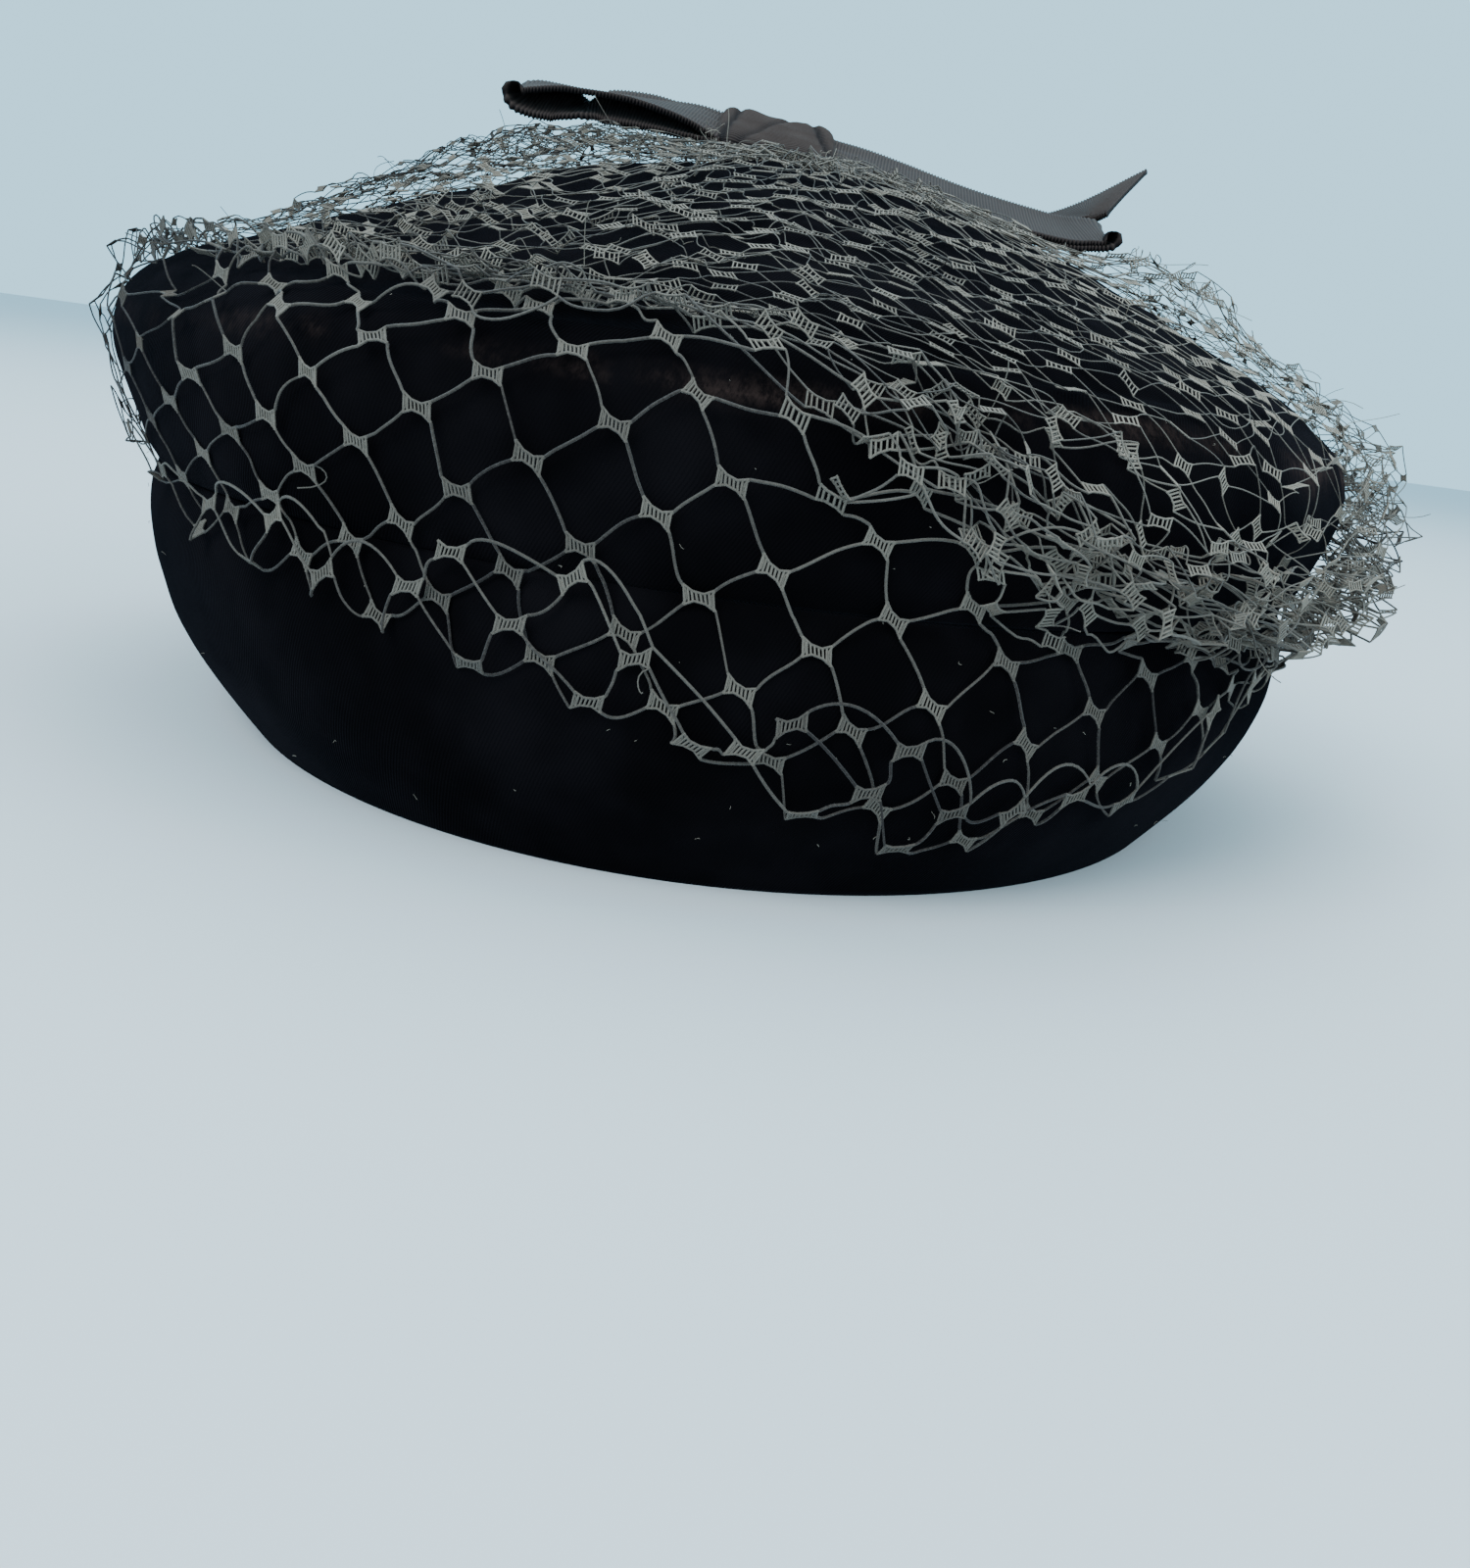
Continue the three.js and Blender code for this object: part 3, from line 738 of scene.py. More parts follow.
@dataclass
class VelvetShell:
    """The crown and the band: two thin walls of velvet that meet at the seam."""

    form: HatForm
    wall: float = 2.4
    columns: int = 200
    seam_gap: float = 0.3
    crease_length: float = 126.5
    crease_height: float = 0.35
    seam_depth: float = 0.9
    seam_reach: float = 2.2
    crease_wander: tuple[float, float] = (1.2, 0.5)
    crease_least: float = 0.25
    crease_middle: float = -72.0
    crease_spread: float = 52.0
    rubbed_spots: tuple[tuple[float, float, float], ...] = ((1.0, -41.0, 3.5), (0.9, -28.0, 5.0))
    specks: int = 90
    material: bpy.types.Material = field(init=False)

    def __post_init__(self) -> None:
        """Makes the finish and the cloth's soft unevenness."""
        self.material = VelvetFinish().material()
        self.dents = Drift(11, 5, 2.5)
        self.ripples = Drift(12, 14, 7)
        self.patches = Drift(13, 30, 9)

    def relief(self, angle: np.ndarray, length: np.ndarray) -> np.ndarray:
        """How far the cloth stands off its form: dents, the crease along the edge and the drawn-in seam.

        Args:
            angle: degrees round the hat.
            length: millimetres down it.

        Returns:
            Millimetres, outwards.
        """
        seam = self.form.lengths[2]
        top = eased(length, 6, 30) * (1 - eased(length, seam + 14, seam + 38))
        soft = top * (0.35 * self.dents.at(angle, length) + 0.10 * self.ripples.at(angle, length))
        crease = self.crease_height * bell((length - self.crease_line(angle)) / 1.6)
        hollow = -0.5 * self.crease_height * bell((length - self.crease_line(angle) - 4.5) / 2.8)
        drawn = -self.seam_depth * bell((length - seam) / self.seam_reach)
        return soft + (crease + hollow) * self.creased(angle) + drawn

    def crease_line(self, angle: np.ndarray) -> np.ndarray:
        """The length down the velvet at which the pressed crease runs."""
        slow, quick = np.sin(np.radians(2 * angle + 40)), np.sin(np.radians(7 * angle))
        return self.crease_length + self.crease_wander[0] * slow + self.crease_wander[1] * quick

    def creased(self, angle: np.ndarray) -> np.ndarray:
        """How sharply the edge is creased at an angle: most at the front and to its right."""
        near = bell(wrapped(angle - self.crease_middle) / self.crease_spread)
        return self.crease_least + (1 - self.crease_least) * near

    def wear(self, angle: np.ndarray, length: np.ndarray) -> np.ndarray:
        """How worn the pile is.

        Args:
            angle: degrees round the hat.
            length: millimetres down it.

        Returns:
            0 where it is whole, 1 where it is rubbed brown.
        """
        patch = np.clip(0.55 + 0.6 * self.patches.at(angle, length * 0.3), 0, 1)
        line = bell((length - self.crease_line(angle)) / 0.8) * self.creased(angle)
        spots = sum(share * bell(wrapped(angle - middle) / spread)
                    for share, middle, spread in self.rubbed_spots)
        rubbed = spots * bell((length - self.crease_line(angle) - 0.8) / 1.5)
        rim = bell((length - self.form.lengths[3]) / 1.0)
        return np.clip(0.55 * line * patch + 0.9 * rubbed * patch + 0.25 * rim, 0, 1)

    def face(self, angle: np.ndarray, length: np.ndarray, on_band: bool, depth: float) -> np.ndarray:
        """A face of the wall.

        Args:
            angle: degrees round the hat.
            length: millimetres down it.
            on_band: which side of the seam it belongs to.
            depth: how far under the outer face it lies.

        Returns:
            The points, in millimetres.
        """
        station = self.form.station(length)
        low, high = (2.0, 3.0) if on_band else (0.0, 2.0)
        outward = self.form.normal(angle, station, low, high)
        relief = self.relief(angle, length) * (1.0 if depth == 0 else 0.5)
        points = self.form.point(angle, station) + outward * (relief - depth)[..., None]
        if on_band:
            points[..., 2] = np.maximum(points[..., 2], 0)
        return points

    def wall_mesh(self, name: str, lengths: np.ndarray, on_band: bool) -> bpy.types.Mesh:
        """One wall as a ring of section lines: down the outer face, round its edge and up the inner face.

        Args:
            name: the mesh's name.
            lengths: the places down the outer face, in millimetres.
            on_band: whether it is the band.

        Returns:
            The mesh.
        """
        angle = np.linspace(0, 360, self.columns, endpoint=False)[None, :]
        down = np.concatenate([lengths, lengths[::-1]])
        sides = []
        for part, depth in ((lengths, 0.0), (lengths[::-1], self.wall)):
            around, along = np.broadcast_arrays(angle, part[:, None])
            sides.append(self.face(around, along, on_band, depth))
        points = self.rounded_rims(sides[0], sides[1], on_band)
        rows = points.shape[0]
        lengthwise = np.interp(np.arange(rows), np.linspace(0, rows - 1, len(down)), down)
        around = np.linspace(0, 360, self.columns + 1)
        places = np.broadcast_arrays(self.form.arc(around)[None, :] * MM, lengthwise[:, None] * MM)
        flat = np.stack(places, axis=-1)
        place = np.broadcast_arrays(angle, lengthwise[:, None])
        outside = (np.arange(rows) <= len(lengths) + 2)[:, None]
        wear = self.wear(*place) * outside
        mesh = grid_mesh(name, self.form.placed(points), True, flat, {"wear": wear})
        return mesh

    def rounded_rims(self, outer: np.ndarray, inner: np.ndarray, on_band: bool) -> np.ndarray:
        """Joins the faces of a wall by rounded edges.

        Args:
            outer: rows of the outer face, from above.
            inner: rows of the inner face, from below.
            on_band: the band is closed above as well.

        Returns:
            All the rows, in order.
        """
        rows = [outer]
        for start, end, before in ((outer[-1], inner[0], outer[-2]),):
            rows.append(self.turn(start, end, start - before))
        rows.append(inner)
        if on_band:
            rows.append(self.turn(inner[-1], outer[0], inner[-1] - inner[-2]))
            rows.append(outer[:1])
        return np.concatenate(rows)

    def turn(self, start: np.ndarray, end: np.ndarray, onward: np.ndarray) -> np.ndarray:
        """A half round between the two faces of a wall, which doesn't go below the level of the rim.

        Args:
            start: the last row of one face.
            end: the first row of the other.
            onward: the way that the first face was going.

        Returns:
            Rows in between.
        """
        middle, half = (start + end) / 2, (start - end) / 2
        onward = onward / np.linalg.norm(onward, axis=-1, keepdims=True)
        bulge = np.minimum(np.linalg.norm(half, axis=-1, keepdims=True), 1.2) * 0.55
        rows = []
        for turn in np.radians([35, 65, 90, 115, 145]):
            row = middle + half * math.cos(turn) + onward * bulge * math.sin(turn)
            row[..., 2] = np.maximum(row[..., 2], 0)
            rows.append(row)
        return np.stack(rows)

    def crown(self) -> bpy.types.Object:
        """The soft top, closed at its peak.

        Returns:
            The object.
        """
        seam = self.form.lengths[2]
        lengths = np.concatenate([np.linspace(0.15, 90, 34), np.linspace(91.5, seam - 0.2, 54)])
        crown = new_object("velvet_crown", self.wall_mesh("velvet_crown", lengths, False))
        return close_poles(crown)

    def band(self) -> bpy.types.Object:
        """The side band.

        Returns:
            The object.
        """
        lengths = np.linspace(self.form.lengths[2] + self.seam_gap, self.form.lengths[3], 40)
        return new_object("velvet_band", self.wall_mesh("velvet_band", lengths, True))

    def build(self) -> list[bpy.types.Object]:
        """Returns:
            The two pieces.
        """
        pieces = [self.crown(), self.band()]
        for piece, node in zip(pieces, ("crown", "band")):
            piece.data.materials.append(self.material)
            finish_piece(piece, [node])
        return [*pieces, self.lint()]

    def lint(self) -> bpy.types.Object:
        """Specks of pale lint on the pile.

        Returns:
            The object.
        """
        draw = np.random.default_rng(19)
        angle = draw.uniform(-170, 10, self.specks)
        length = draw.uniform(122, self.form.lengths[3] - 3, self.specks)
        station = self.form.station(length)
        start = self.form.point(angle, station) + self.form.normal(angle, station) * 0.35
        turns = [start]
        for _ in range(3):
            turns.append(turns[-1] + draw.normal(0, 0.22, start.shape))
        threads = Threads("velvet_lint")
        threads.add(self.form.placed(bezier(*turns, 5)), draw.uniform(0.03, 0.06, self.specks), 0.8)
        piece = threads.sweep(3, NetFinish().material())
        finish_piece(piece)
        return piece


def close_poles(piece: bpy.types.Object) -> bpy.types.Object:
    """Closes the small holes that a mesh has at its first and last row.

    Args:
        piece: the object.

    Returns:
        The same object.
    """
    mesh = bmesh.new()
    mesh.from_mesh(piece.data)
    rims = [edge for edge in mesh.edges if edge.is_boundary]
    bmesh.ops.holes_fill(mesh, edges=rims, sides=0)
    bmesh.ops.triangulate(mesh, faces=[face for face in mesh.faces if len(face.verts) > 4])
    mesh.to_mesh(piece.data)
    mesh.free()
    return piece


def finish_piece(piece: bpy.types.Object, nodes: Sequence[str] = ()) -> None:
    """Hangs a piece on the root body, hides the solids that it replaces and logs how many triangles it has.

    Args:
        piece: the object.
        nodes: the solids that it replaces.
    """
    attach(piece, ROOT)
    if nodes:
        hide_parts(*nodes)
    triangles = sum(len(face.vertices) - 2 for face in piece.data.polygons)
    LOG.info("%s: %d triangles", piece.name, triangles)


# ----------------------------------------------------------------------------------------------------------
# Thread
# ----------------------------------------------------------------------------------------------------------


@dataclass
class Threads:
    """A collection of thread paths that become round thread together."""

    name: str
    points: list[np.ndarray] = field(default_factory=list)
    sizes: list[np.ndarray] = field(default_factory=list)
    tones: list[np.ndarray] = field(default_factory=list)

    def add(self, paths: np.ndarray, radius: Any, tone: Any) -> None:
        """Adds paths that all have the same number of points.

        Args:
            paths: paths by points by 3, in metres.
            radius: millimetres, one number or one for each path or point.
            tone: 0 for the dark thread, 1 for the light one, given in the same way.
        """
        shape = paths.shape[:2]
        self.points.append(paths)
        values = np.asarray(radius, float) * MM, np.asarray(tone, float)
        for store, value in zip((self.sizes, self.tones), values):
            if value.ndim == 1:
                value = value[:, None]
            store.append(np.broadcast_to(value, shape))

    def sweep(self, sides: int, material: bpy.types.Material) -> bpy.types.Object:
        """Makes the thread.

        Args:
            sides: how many sides it has round.
            material: its finish.

        Returns:
            The object, a plain mesh.
        """
        mesh = bpy.data.meshes.new(self.name)
        edges, start = [], 0
        for paths in self.points:
            count, length = paths.shape[:2]
            first = start + np.arange(count)[:, None] * length + np.arange(length - 1)[None, :]
            edges.append(np.stack([first, first + 1], axis=-1).reshape(-1, 2))
            start += count * length
        joined = np.concatenate(edges)
        mesh.vertices.add(start)
        places = np.concatenate([paths.reshape(-1, 3) for paths in self.points])
        mesh.vertices.foreach_set("co", places.reshape(-1))
        mesh.edges.add(len(joined))
        mesh.edges.foreach_set("vertices", joined.reshape(-1))
        for label, store in (("size", self.sizes), ("tone", self.tones)):
            values = np.concatenate([value.reshape(-1) for value in store]).astype(np.float32)
            mesh.attributes.new(label, "FLOAT", "POINT").data.foreach_set("value", values)
        mesh.update()
        return sweep_threads(new_object(self.name, mesh), sides, material)


def sweep_threads(source: bpy.types.Object, sides: int, material: bpy.types.Material) -> bpy.types.Object:
    """Turns a mesh of loose edges into round thread.

    Args:
        source: its points carry the thread's radius as "size".
        sides: how many sides it has round.
        material: its finish.

    Returns:
        The same object, a plain mesh.
    """
    maker = Maker("thread", {"Sides": ("NodeSocketInt", sides), "Thickness": ("NodeSocketFloat", 1.0),
                             "Material": ("NodeSocketMaterial", material)})
    curves = maker.wire("GeometryNodeMeshToCurve", sockets={"Mesh": maker.given("Geometry")})
    profile = maker.wire("GeometryNodeCurvePrimitiveCircle", {"mode": "RADIUS"},
                         {"Resolution": maker.given("Sides"), "Radius": maker.given("Thickness")})
    tube = maker.wire("GeometryNodeCurveToMesh",
                      sockets={"Curve": curves, "Profile Curve": profile, "Scale": maker.attribute("size"),
                               "Fill Caps": True})
    smooth = maker.wire("GeometryNodeSetShadeSmooth", sockets={"Geometry": tube})
    return maker.run(source, smooth)


def bezier(start: np.ndarray, lead: np.ndarray, trail: np.ndarray, end: np.ndarray, count: int) -> np.ndarray:
    """Curves between pairs of places.

    Args:
        start: where each starts.
        lead: its first handle.
        trail: its second handle.
        end: where each ends.
        count: how many points each gets.

    Returns:
        Curves by points by axes.
    """
    share = np.linspace(0, 1, count)[None, :, None]
    start, lead, trail, end = (part[:, None, :] for part in (start, lead, trail, end))
    return ((1 - share) ** 3 * start + 3 * (1 - share) ** 2 * share * lead
            + 3 * (1 - share) * share ** 2 * trail + share ** 3 * end)


# ----------------------------------------------------------------------------------------------------------
# The veil
# ----------------------------------------------------------------------------------------------------------


@dataclass(frozen=True)
class HemRow:
    """Where the veil ends at an angle, and how much of it is folded up there."""

    angle: float
    length: float
    folded_up: float


@dataclass(frozen=True)
class BunchRow:
    """How the net is drawn together along the edge of the crown at an angle."""

    angle: float
    length: float
    reach: float
    layers: float
    height: float
    crumple: float


@dataclass(frozen=True)
class Swell:
    """A part of the veil that is fuller and stands off the velvet."""

    angle: float
    spread: float
    length: float
    reach: float
    layers: float
    height: float
    crumple: float


@dataclass
class KnotPose:
    """Knots in space: where each lies, and which way the net's two directions run at it."""

    middle: np.ndarray
    across: np.ndarray
    down: np.ndarray

    def at(self, place: np.ndarray) -> np.ndarray:
        """A place on the knots, in space.

        Args:
            place: millimetres from the middle of the flat knot.

        Returns:
            Points in metres.
        """
        return self.middle + (place[..., :1] * self.across + place[..., 1:] * self.down) * MM

    def turned(self, angle: np.ndarray, size: np.ndarray, squeeze: np.ndarray) -> "KnotPose":
        """The same knots, turned in their planes and drawn larger or smaller.

        Args:
            angle: how far they turn, in radians.
            size: how much larger they are drawn.
            squeeze: how much lower they are for that.

        Returns:
            Their new poses.
        """
        cosine, sine = np.cos(angle)[..., None], np.sin(angle)[..., None]
        return KnotPose(self.middle, (self.across * cosine + self.down * sine) * size[..., None],
                        (self.down * cosine - self.across * sine) * (size * squeeze)[..., None])


@dataclass
class VeilDrape:
    """How the flat net lies on the hat."""

    form: HatForm
    seed: int = 20
    lift: float = 0.0
    hem: tuple[HemRow, ...] = (
        HemRow(-180, 147, 10), HemRow(-150, 148, 10), HemRow(-134, 156, 9), HemRow(-118, 160, 12),
        HemRow(-100, 165, 18), HemRow(-91, 168, 18), HemRow(-83, 178, 22), HemRow(-70, 183, 15),
        HemRow(-60, 178, 16), HemRow(-50, 172, 13), HemRow(-37, 158, 11), HemRow(-10, 153, 9),
        HemRow(30, 145, 9), HemRow(90, 139, 9), HemRow(140, 143, 9), HemRow(180, 147, 10))
    bunch: tuple[BunchRow, ...] = (
        BunchRow(-180, 117, 14, 2.6, 4.5, 0.45), BunchRow(-155, 119, 13, 2.6, 4.0, 0.45),
        BunchRow(-125, 120, 12, 2.5, 2.6, 0.3), BunchRow(-106, 120, 11, 2.7, 1.8, 0.22),
        BunchRow(-96, 121, 10, 1.8, 1.8, 0.25), BunchRow(-88, 125, 9, 1.5, 2.4, 0.45),
        BunchRow(-80, 130, 8, 2.2, 3.6, 0.9), BunchRow(-70, 136, 9, 3.3, 5.0, 1.0),
        BunchRow(-58, 141, 9, 3.8, 6.0, 1.0), BunchRow(-45, 143, 10, 3.8, 7.0, 1.0),
        BunchRow(-28, 140, 12, 3.6, 8.0, 1.0), BunchRow(-10, 135, 13, 3.4, 8.5, 0.9),
        BunchRow(14, 127, 13, 2.4, 6.0, 0.7), BunchRow(45, 120, 12, 2.2, 4.0, 0.5),
        BunchRow(90, 116, 12, 2.2, 3.5, 0.45), BunchRow(140, 115, 13, 2.4, 4.0, 0.45),
        BunchRow(180, 117, 14, 2.6, 4.5, 0.45))
    swells: tuple[Swell, ...] = (
        Swell(-164, 40, 56, 30, 0.7, 6.5, 0.3), Swell(-118, 34, 96, 15, 0.7, 1.2, 0.25),
        Swell(-28, 14, 88, 12, 0.8, 6.5, 0.6), Swell(-8, 20, 110, 16, 0.6, 4.0, 0.5),
        Swell(12, 9, 84, 8, 0.9, 9.0, 0.5), Swell(120, 60, 70, 30, 0.3, 2.5, 0.2))
    top_density: float = 0.95
    side_density: float = 0.83
    left_closer: float = 0.22
    anchor_length: float = 164.1
    anchor_down: float = 165.1
    lying: float = 0.7
    folded_over: float = 1.25
    fold: float = 16.0
    fold_reach: float = 2.3
    side_fold: float = 20.0
    side_fold_reach: float = 2.1
    curl: float = 1.4
    hem_wander: float = 1.1
    pleats: int = 19
    pleat_reach: float = 3.2
    pleat_height: float = 1.5
    to_bow: float = 11.0
    to_bow_reach: float = 54.0
    top_crumple: float = 0.14
    knot_reach: float = 1.3
    evened: float = 0.6
    top_stretch: float = 0.22

    def __post_init__(self) -> None:
        """Adds up, at each angle, how much net lies between the peak and each length."""
        self.angles = np.arange(-180.0, 181.0, 2.0)
        self.lengths = np.arange(0.0, 240.1, 0.5)
        places = self.angles[:, None], self.lengths[None, :]
        density = self.density(*places)
        used = (density * (self.lengths < self.anchor_length)).sum(axis=1)
        above = self.above_bunch(*places) * np.minimum(density, self.top_density)
        spare = self.evened * (used.mean() - used) / above.sum(axis=1)
        density = density + above * np.clip(spare, -0.35, 0.45)[:, None]
        step = (density[:, 1:] + density[:, :-1]) / 2 * 0.5
        down = np.concatenate([np.zeros((len(self.angles), 1)), np.cumsum(step, axis=1)], axis=1)
        self.downs = np.arange(-150.0, 250.0, 1.0)
        self.table = np.empty((len(self.angles), len(self.downs)))
        for row, line in enumerate(down):
            shift = self.anchor_down - np.interp(self.anchor_length, self.lengths, line)
            self.table[row] = np.interp(self.downs, line + shift, self.lengths, left=-1.0)
        self.phase = Drift(self.seed + 1, 9, 0.6)
        self.heights = Drift(self.seed + 2, 16, 3.5)
        self.across_wander = Drift(self.seed + 3, 7, 1.4)
        self.down_wander = Drift(self.seed + 4, 8, 1.4)
        self.curl_across = Drift(self.seed + 5, 34, 5.0)
        self.curl_down = Drift(self.seed + 6, 34, 5.0)
        self.curl_out = Drift(self.seed + 7, 30, 5.0)

    def row(self, rows: Sequence[Any], name: str, angle: np.ndarray) -> np.ndarray:
        """A column of a table that goes round the hat, eased between its rows.

        Args:
            rows: the table.
            name: the column.
            angle: degrees round the hat.

        Returns:
            The values.
        """
        angles = np.array([entry.angle for entry in rows])
        values = np.array([getattr(entry, name) for entry in rows])
        place = np.interp(wrapped(angle), angles, np.arange(len(rows)))
        before = np.minimum(np.floor(place).astype(int), len(rows) - 2)
        share = eased(place - before, 0, 1)
        return values[before] * (1 - share) + values[before + 1] * share

    def bunched(self, angle: np.ndarray, length: np.ndarray) -> np.ndarray:
        """How far into the bunch along the edge a place is: 1 in its middle, nearly 0 outside."""
        return bell((length - self.row(self.bunch, "length", angle)) / self.row(self.bunch, "reach", angle))

    def above_bunch(self, angle: np.ndarray, length: np.ndarray) -> np.ndarray:
        """1 on the top, 0 on the side below the bunch."""
        middle = self.row(self.bunch, "length", angle)
        return 1 - eased(length, middle - 12, middle + 8)

    def density(self, angle: np.ndarray, length: np.ndarray) -> np.ndarray:
        """Millimetres of net for each millimetre down the hat.

        Args:
            angle: degrees round the hat.
            length: millimetres down it.

        Returns:
            The density.
        """
        below = self.side_density + self.left_closer * bell(wrapped(angle + 146) / 24)
        density = below + (self.top_density - below) * self.above_bunch(angle, length)
        density = density * (1 - self.top_stretch * (1 - eased(length, 25, 75)))
        density = density + self.row(self.bunch, "layers", angle) * self.bunched(angle, length)
        for swell in self.swells:
            density = density + swell.layers * self.swelled(swell, angle, length)
        return density

    def swelled(self, swell: Swell, angle: np.ndarray, length: np.ndarray) -> np.ndarray:
        """How far into a swell a place is."""
        return bell(wrapped(angle - swell.angle) / swell.spread) * bell((length - swell.length) / swell.reach)

    def length(self, angle: np.ndarray, down: np.ndarray) -> np.ndarray:
        """The length down the hat at which a place of the flat net comes to lie.

        Args:
            angle: degrees round the hat.
            down: millimetres down the flat net.

        Returns:
            The lengths.
        """
        row = (wrapped(angle) + 180) / 2
        column = np.clip(down - self.downs[0], 0, len(self.downs) - 1.001)
        above = np.minimum(np.floor(row).astype(int), len(self.angles) - 2)
        before = np.floor(column).astype(int)
        up, along = row - above, column - before
        table = self.table
        return ((table[above, before] * (1 - along) + table[above, before + 1] * along) * (1 - up)
                + (table[above + 1, before] * (1 - along) + table[above + 1, before + 1] * along) * up)

    def fullness(self, angle: np.ndarray, length: np.ndarray) -> tuple[np.ndarray, np.ndarray, np.ndarray]:
        """How full the veil is at a place.

        Args:
            angle: degrees round the hat.
            length: millimetres down it.

        Returns:
            How crumpled it is, how high its folds stand and how far all of it stands off, in millimetres.
        """
        bunched = self.bunched(angle, length)
        crumple = bunched * self.row(self.bunch, "crumple", angle)
        stand = bunched * self.row(self.bunch, "height", angle)
        tent = np.zeros_like(length)
        for swell in self.swells:
            share = self.swelled(swell, angle, length)
            crumple = crumple + swell.crumple * share
            tent = tent + swell.height * share
        crumple = crumple + self.top_crumple * self.above_bunch(angle, length)
        return np.clip(crumple, 0, 1.1), stand, tent

    def settle(self, across: np.ndarray, down: np.ndarray) -> tuple[np.ndarray, np.ndarray, np.ndarray]:
        """Where a place of the flat net comes to lie.

        Args:
            across: millimetres round the net, from the front.
            down: millimetres down it.

        Returns:
            The angle, the length down the hat and the height over the velvet.
        """
        angle = self.form.angle(across)
        flat = self.length(angle, down)
        crumple, stand, tent = self.fullness(angle, flat)
        turn = 2 * math.pi * down / self.fold + 1.6 * self.phase.at(angle, down)
        length = flat + self.fold_reach * crumple * np.sin(turn)
        length = length + (0.5 + 1.2 * crumple) * self.down_wander.at(angle, down)
        length = length + self.curl * crumple * self.curl_down.at(angle, down)
        length, over = self.turned_up(angle, length)
        layer = np.clip(0.55 + 0.45 * np.cos(turn + 0.7) + 0.3 * self.heights.at(angle, down), 0.05, 1.3)
        height = (self.lying + self.lift + stand * layer) * (0.3 + 0.7 * eased(flat, 25, 70))
        height = height + tent * (0.55 + 0.45 * layer)
        height = height + self.folded_over * eased(over, -1.5, 2.5)
        height = height + (0.15 + 0.7 * self.curl * crumple) * np.abs(self.curl_out.at(angle, down))
        side = 2 * math.pi * across / self.side_fold + 1.5 * self.phase.at(angle + 40, down)
        aside = 0.7 * (1 + 1.5 * crumple) * self.across_wander.at(angle, down)
        curl = self.curl * self.curl_across.at(angle, down)
        aside = aside + crumple * (self.side_fold_reach * np.sin(side) + curl)
        gathered = 1 - eased(flat, 22, 95)
        pleat = np.radians(self.pleats * angle) + 1.2 * self.phase.at(angle, flat * 0.3)
        around = angle + self.form.angle(aside) + 90 + self.pleat_reach * gathered * np.sin(pleat)
        height = height + self.pleat_height * gathered ** 2 * (1 + np.cos(pleat + 0.8)) / 2
        around, length = self.drawn_to_bow(around, length)
        return around, length, height

    def turned_up(self, angle: np.ndarray, length: np.ndarray) -> tuple[np.ndarray, np.ndarray]:
        """Folds up what lies past the hem.

        Args:
            angle: degrees round the hat.
            length: millimetres down the hat, as if the hem weren't folded.

        Returns:
            The lengths, folded, and how far past the fold each place is.
        """
        wander = self.hem_wander * self.down_wander.at(2 * angle, 0 * angle)
        hem = self.row(self.hem, "length", angle) + wander
        over = length - hem
        return hem - np.sqrt(over * over + 2.5), over

    def drawn_to_bow(self, angle: np.ndarray, length: np.ndarray) -> tuple[np.ndarray, np.ndarray]:
        """Moves the middle of the gathers from the peak to the bow, which lies a little behind it.

        Args:
            angle: degrees round the hat.
            length: millimetres down it.

        Returns:
            The angles and lengths after that.
        """
        moved = self.to_bow * (1 - eased(length, 4, self.to_bow_reach))
        aside = length * np.cos(np.radians(angle))
        back = length * np.sin(np.radians(angle)) + moved
        near = length < self.to_bow_reach
        turned = np.degrees(np.arctan2(back, aside))
        return np.where(near, turned, angle), np.where(near, np.hypot(aside, back), length)

    def place(self, across: np.ndarray, down: np.ndarray) -> np.ndarray:
        """Places of the flat net, in space.

        Args:
            across: millimetres round the net, from the front.
            down: millimetres down it.

        Returns:
            Points in metres.
        """
        return self.above_velvet(*self.settle(across, down))

    def above_velvet(self, angle: np.ndarray, length: np.ndarray, height: np.ndarray) -> np.ndarray:
        """Points over the velvet.

        Args:
            angle: degrees round the hat.
            length: millimetres down it.
            height: millimetres over the velvet.

        Returns:
            Points in metres.
        """
        station = self.form.station(np.maximum(length, 1.0))
        outward = self.form.normal(angle, station)
        return self.form.placed(self.form.point(angle, station) + outward * height[..., None])

    def behind(self, angle: np.ndarray) -> np.ndarray:
        """How far round the sides and the back a place is: 0 at the front, 1 at the back."""
        turn = wrapped(angle + 85)
        return np.where(turn < 0, eased(-turn, 38, 75), eased(turn, 45, 95))

    def away(self, points: np.ndarray) -> np.ndarray:
        """Unit vectors from the middle of the hat to points."""
        out = points - self.form.placed(np.array([0.0, 0.0, 40.0]))
        return out / np.linalg.norm(out, axis=-1, keepdims=True)

    def pose(self, flat: np.ndarray) -> KnotPose:
        """How knots of the flat net come to lie, without being drawn out of shape.

        Args:
            flat: their middles on the flat net.

        Returns:
            Their poses.
        """
        ways = []
        for step in np.array([[self.knot_reach, 0.0], [0.0, self.knot_reach]]):
            ahead, behind = flat + step, flat - step
            ways.append(self.place(ahead[..., 0], ahead[..., 1]) - self.place(behind[..., 0], behind[..., 1]))
        left, _, right = np.linalg.svd(np.stack(ways, axis=-1), full_matrices=False)
        turned = left @ right
        return KnotPose(self.place(flat[..., 0], flat[..., 1]), turned[..., 0], turned[..., 1])


class Corner(Enum):
    """The corners of a knot: its end, -1 left or 1 right, and its rail, -1 upper or 1 lower."""

    UPPER_LEFT = (-1.0, -1.0)
    LOWER_LEFT = (-1.0, 1.0)
    UPPER_RIGHT = (1.0, -1.0)
    LOWER_RIGHT = (1.0, 1.0)


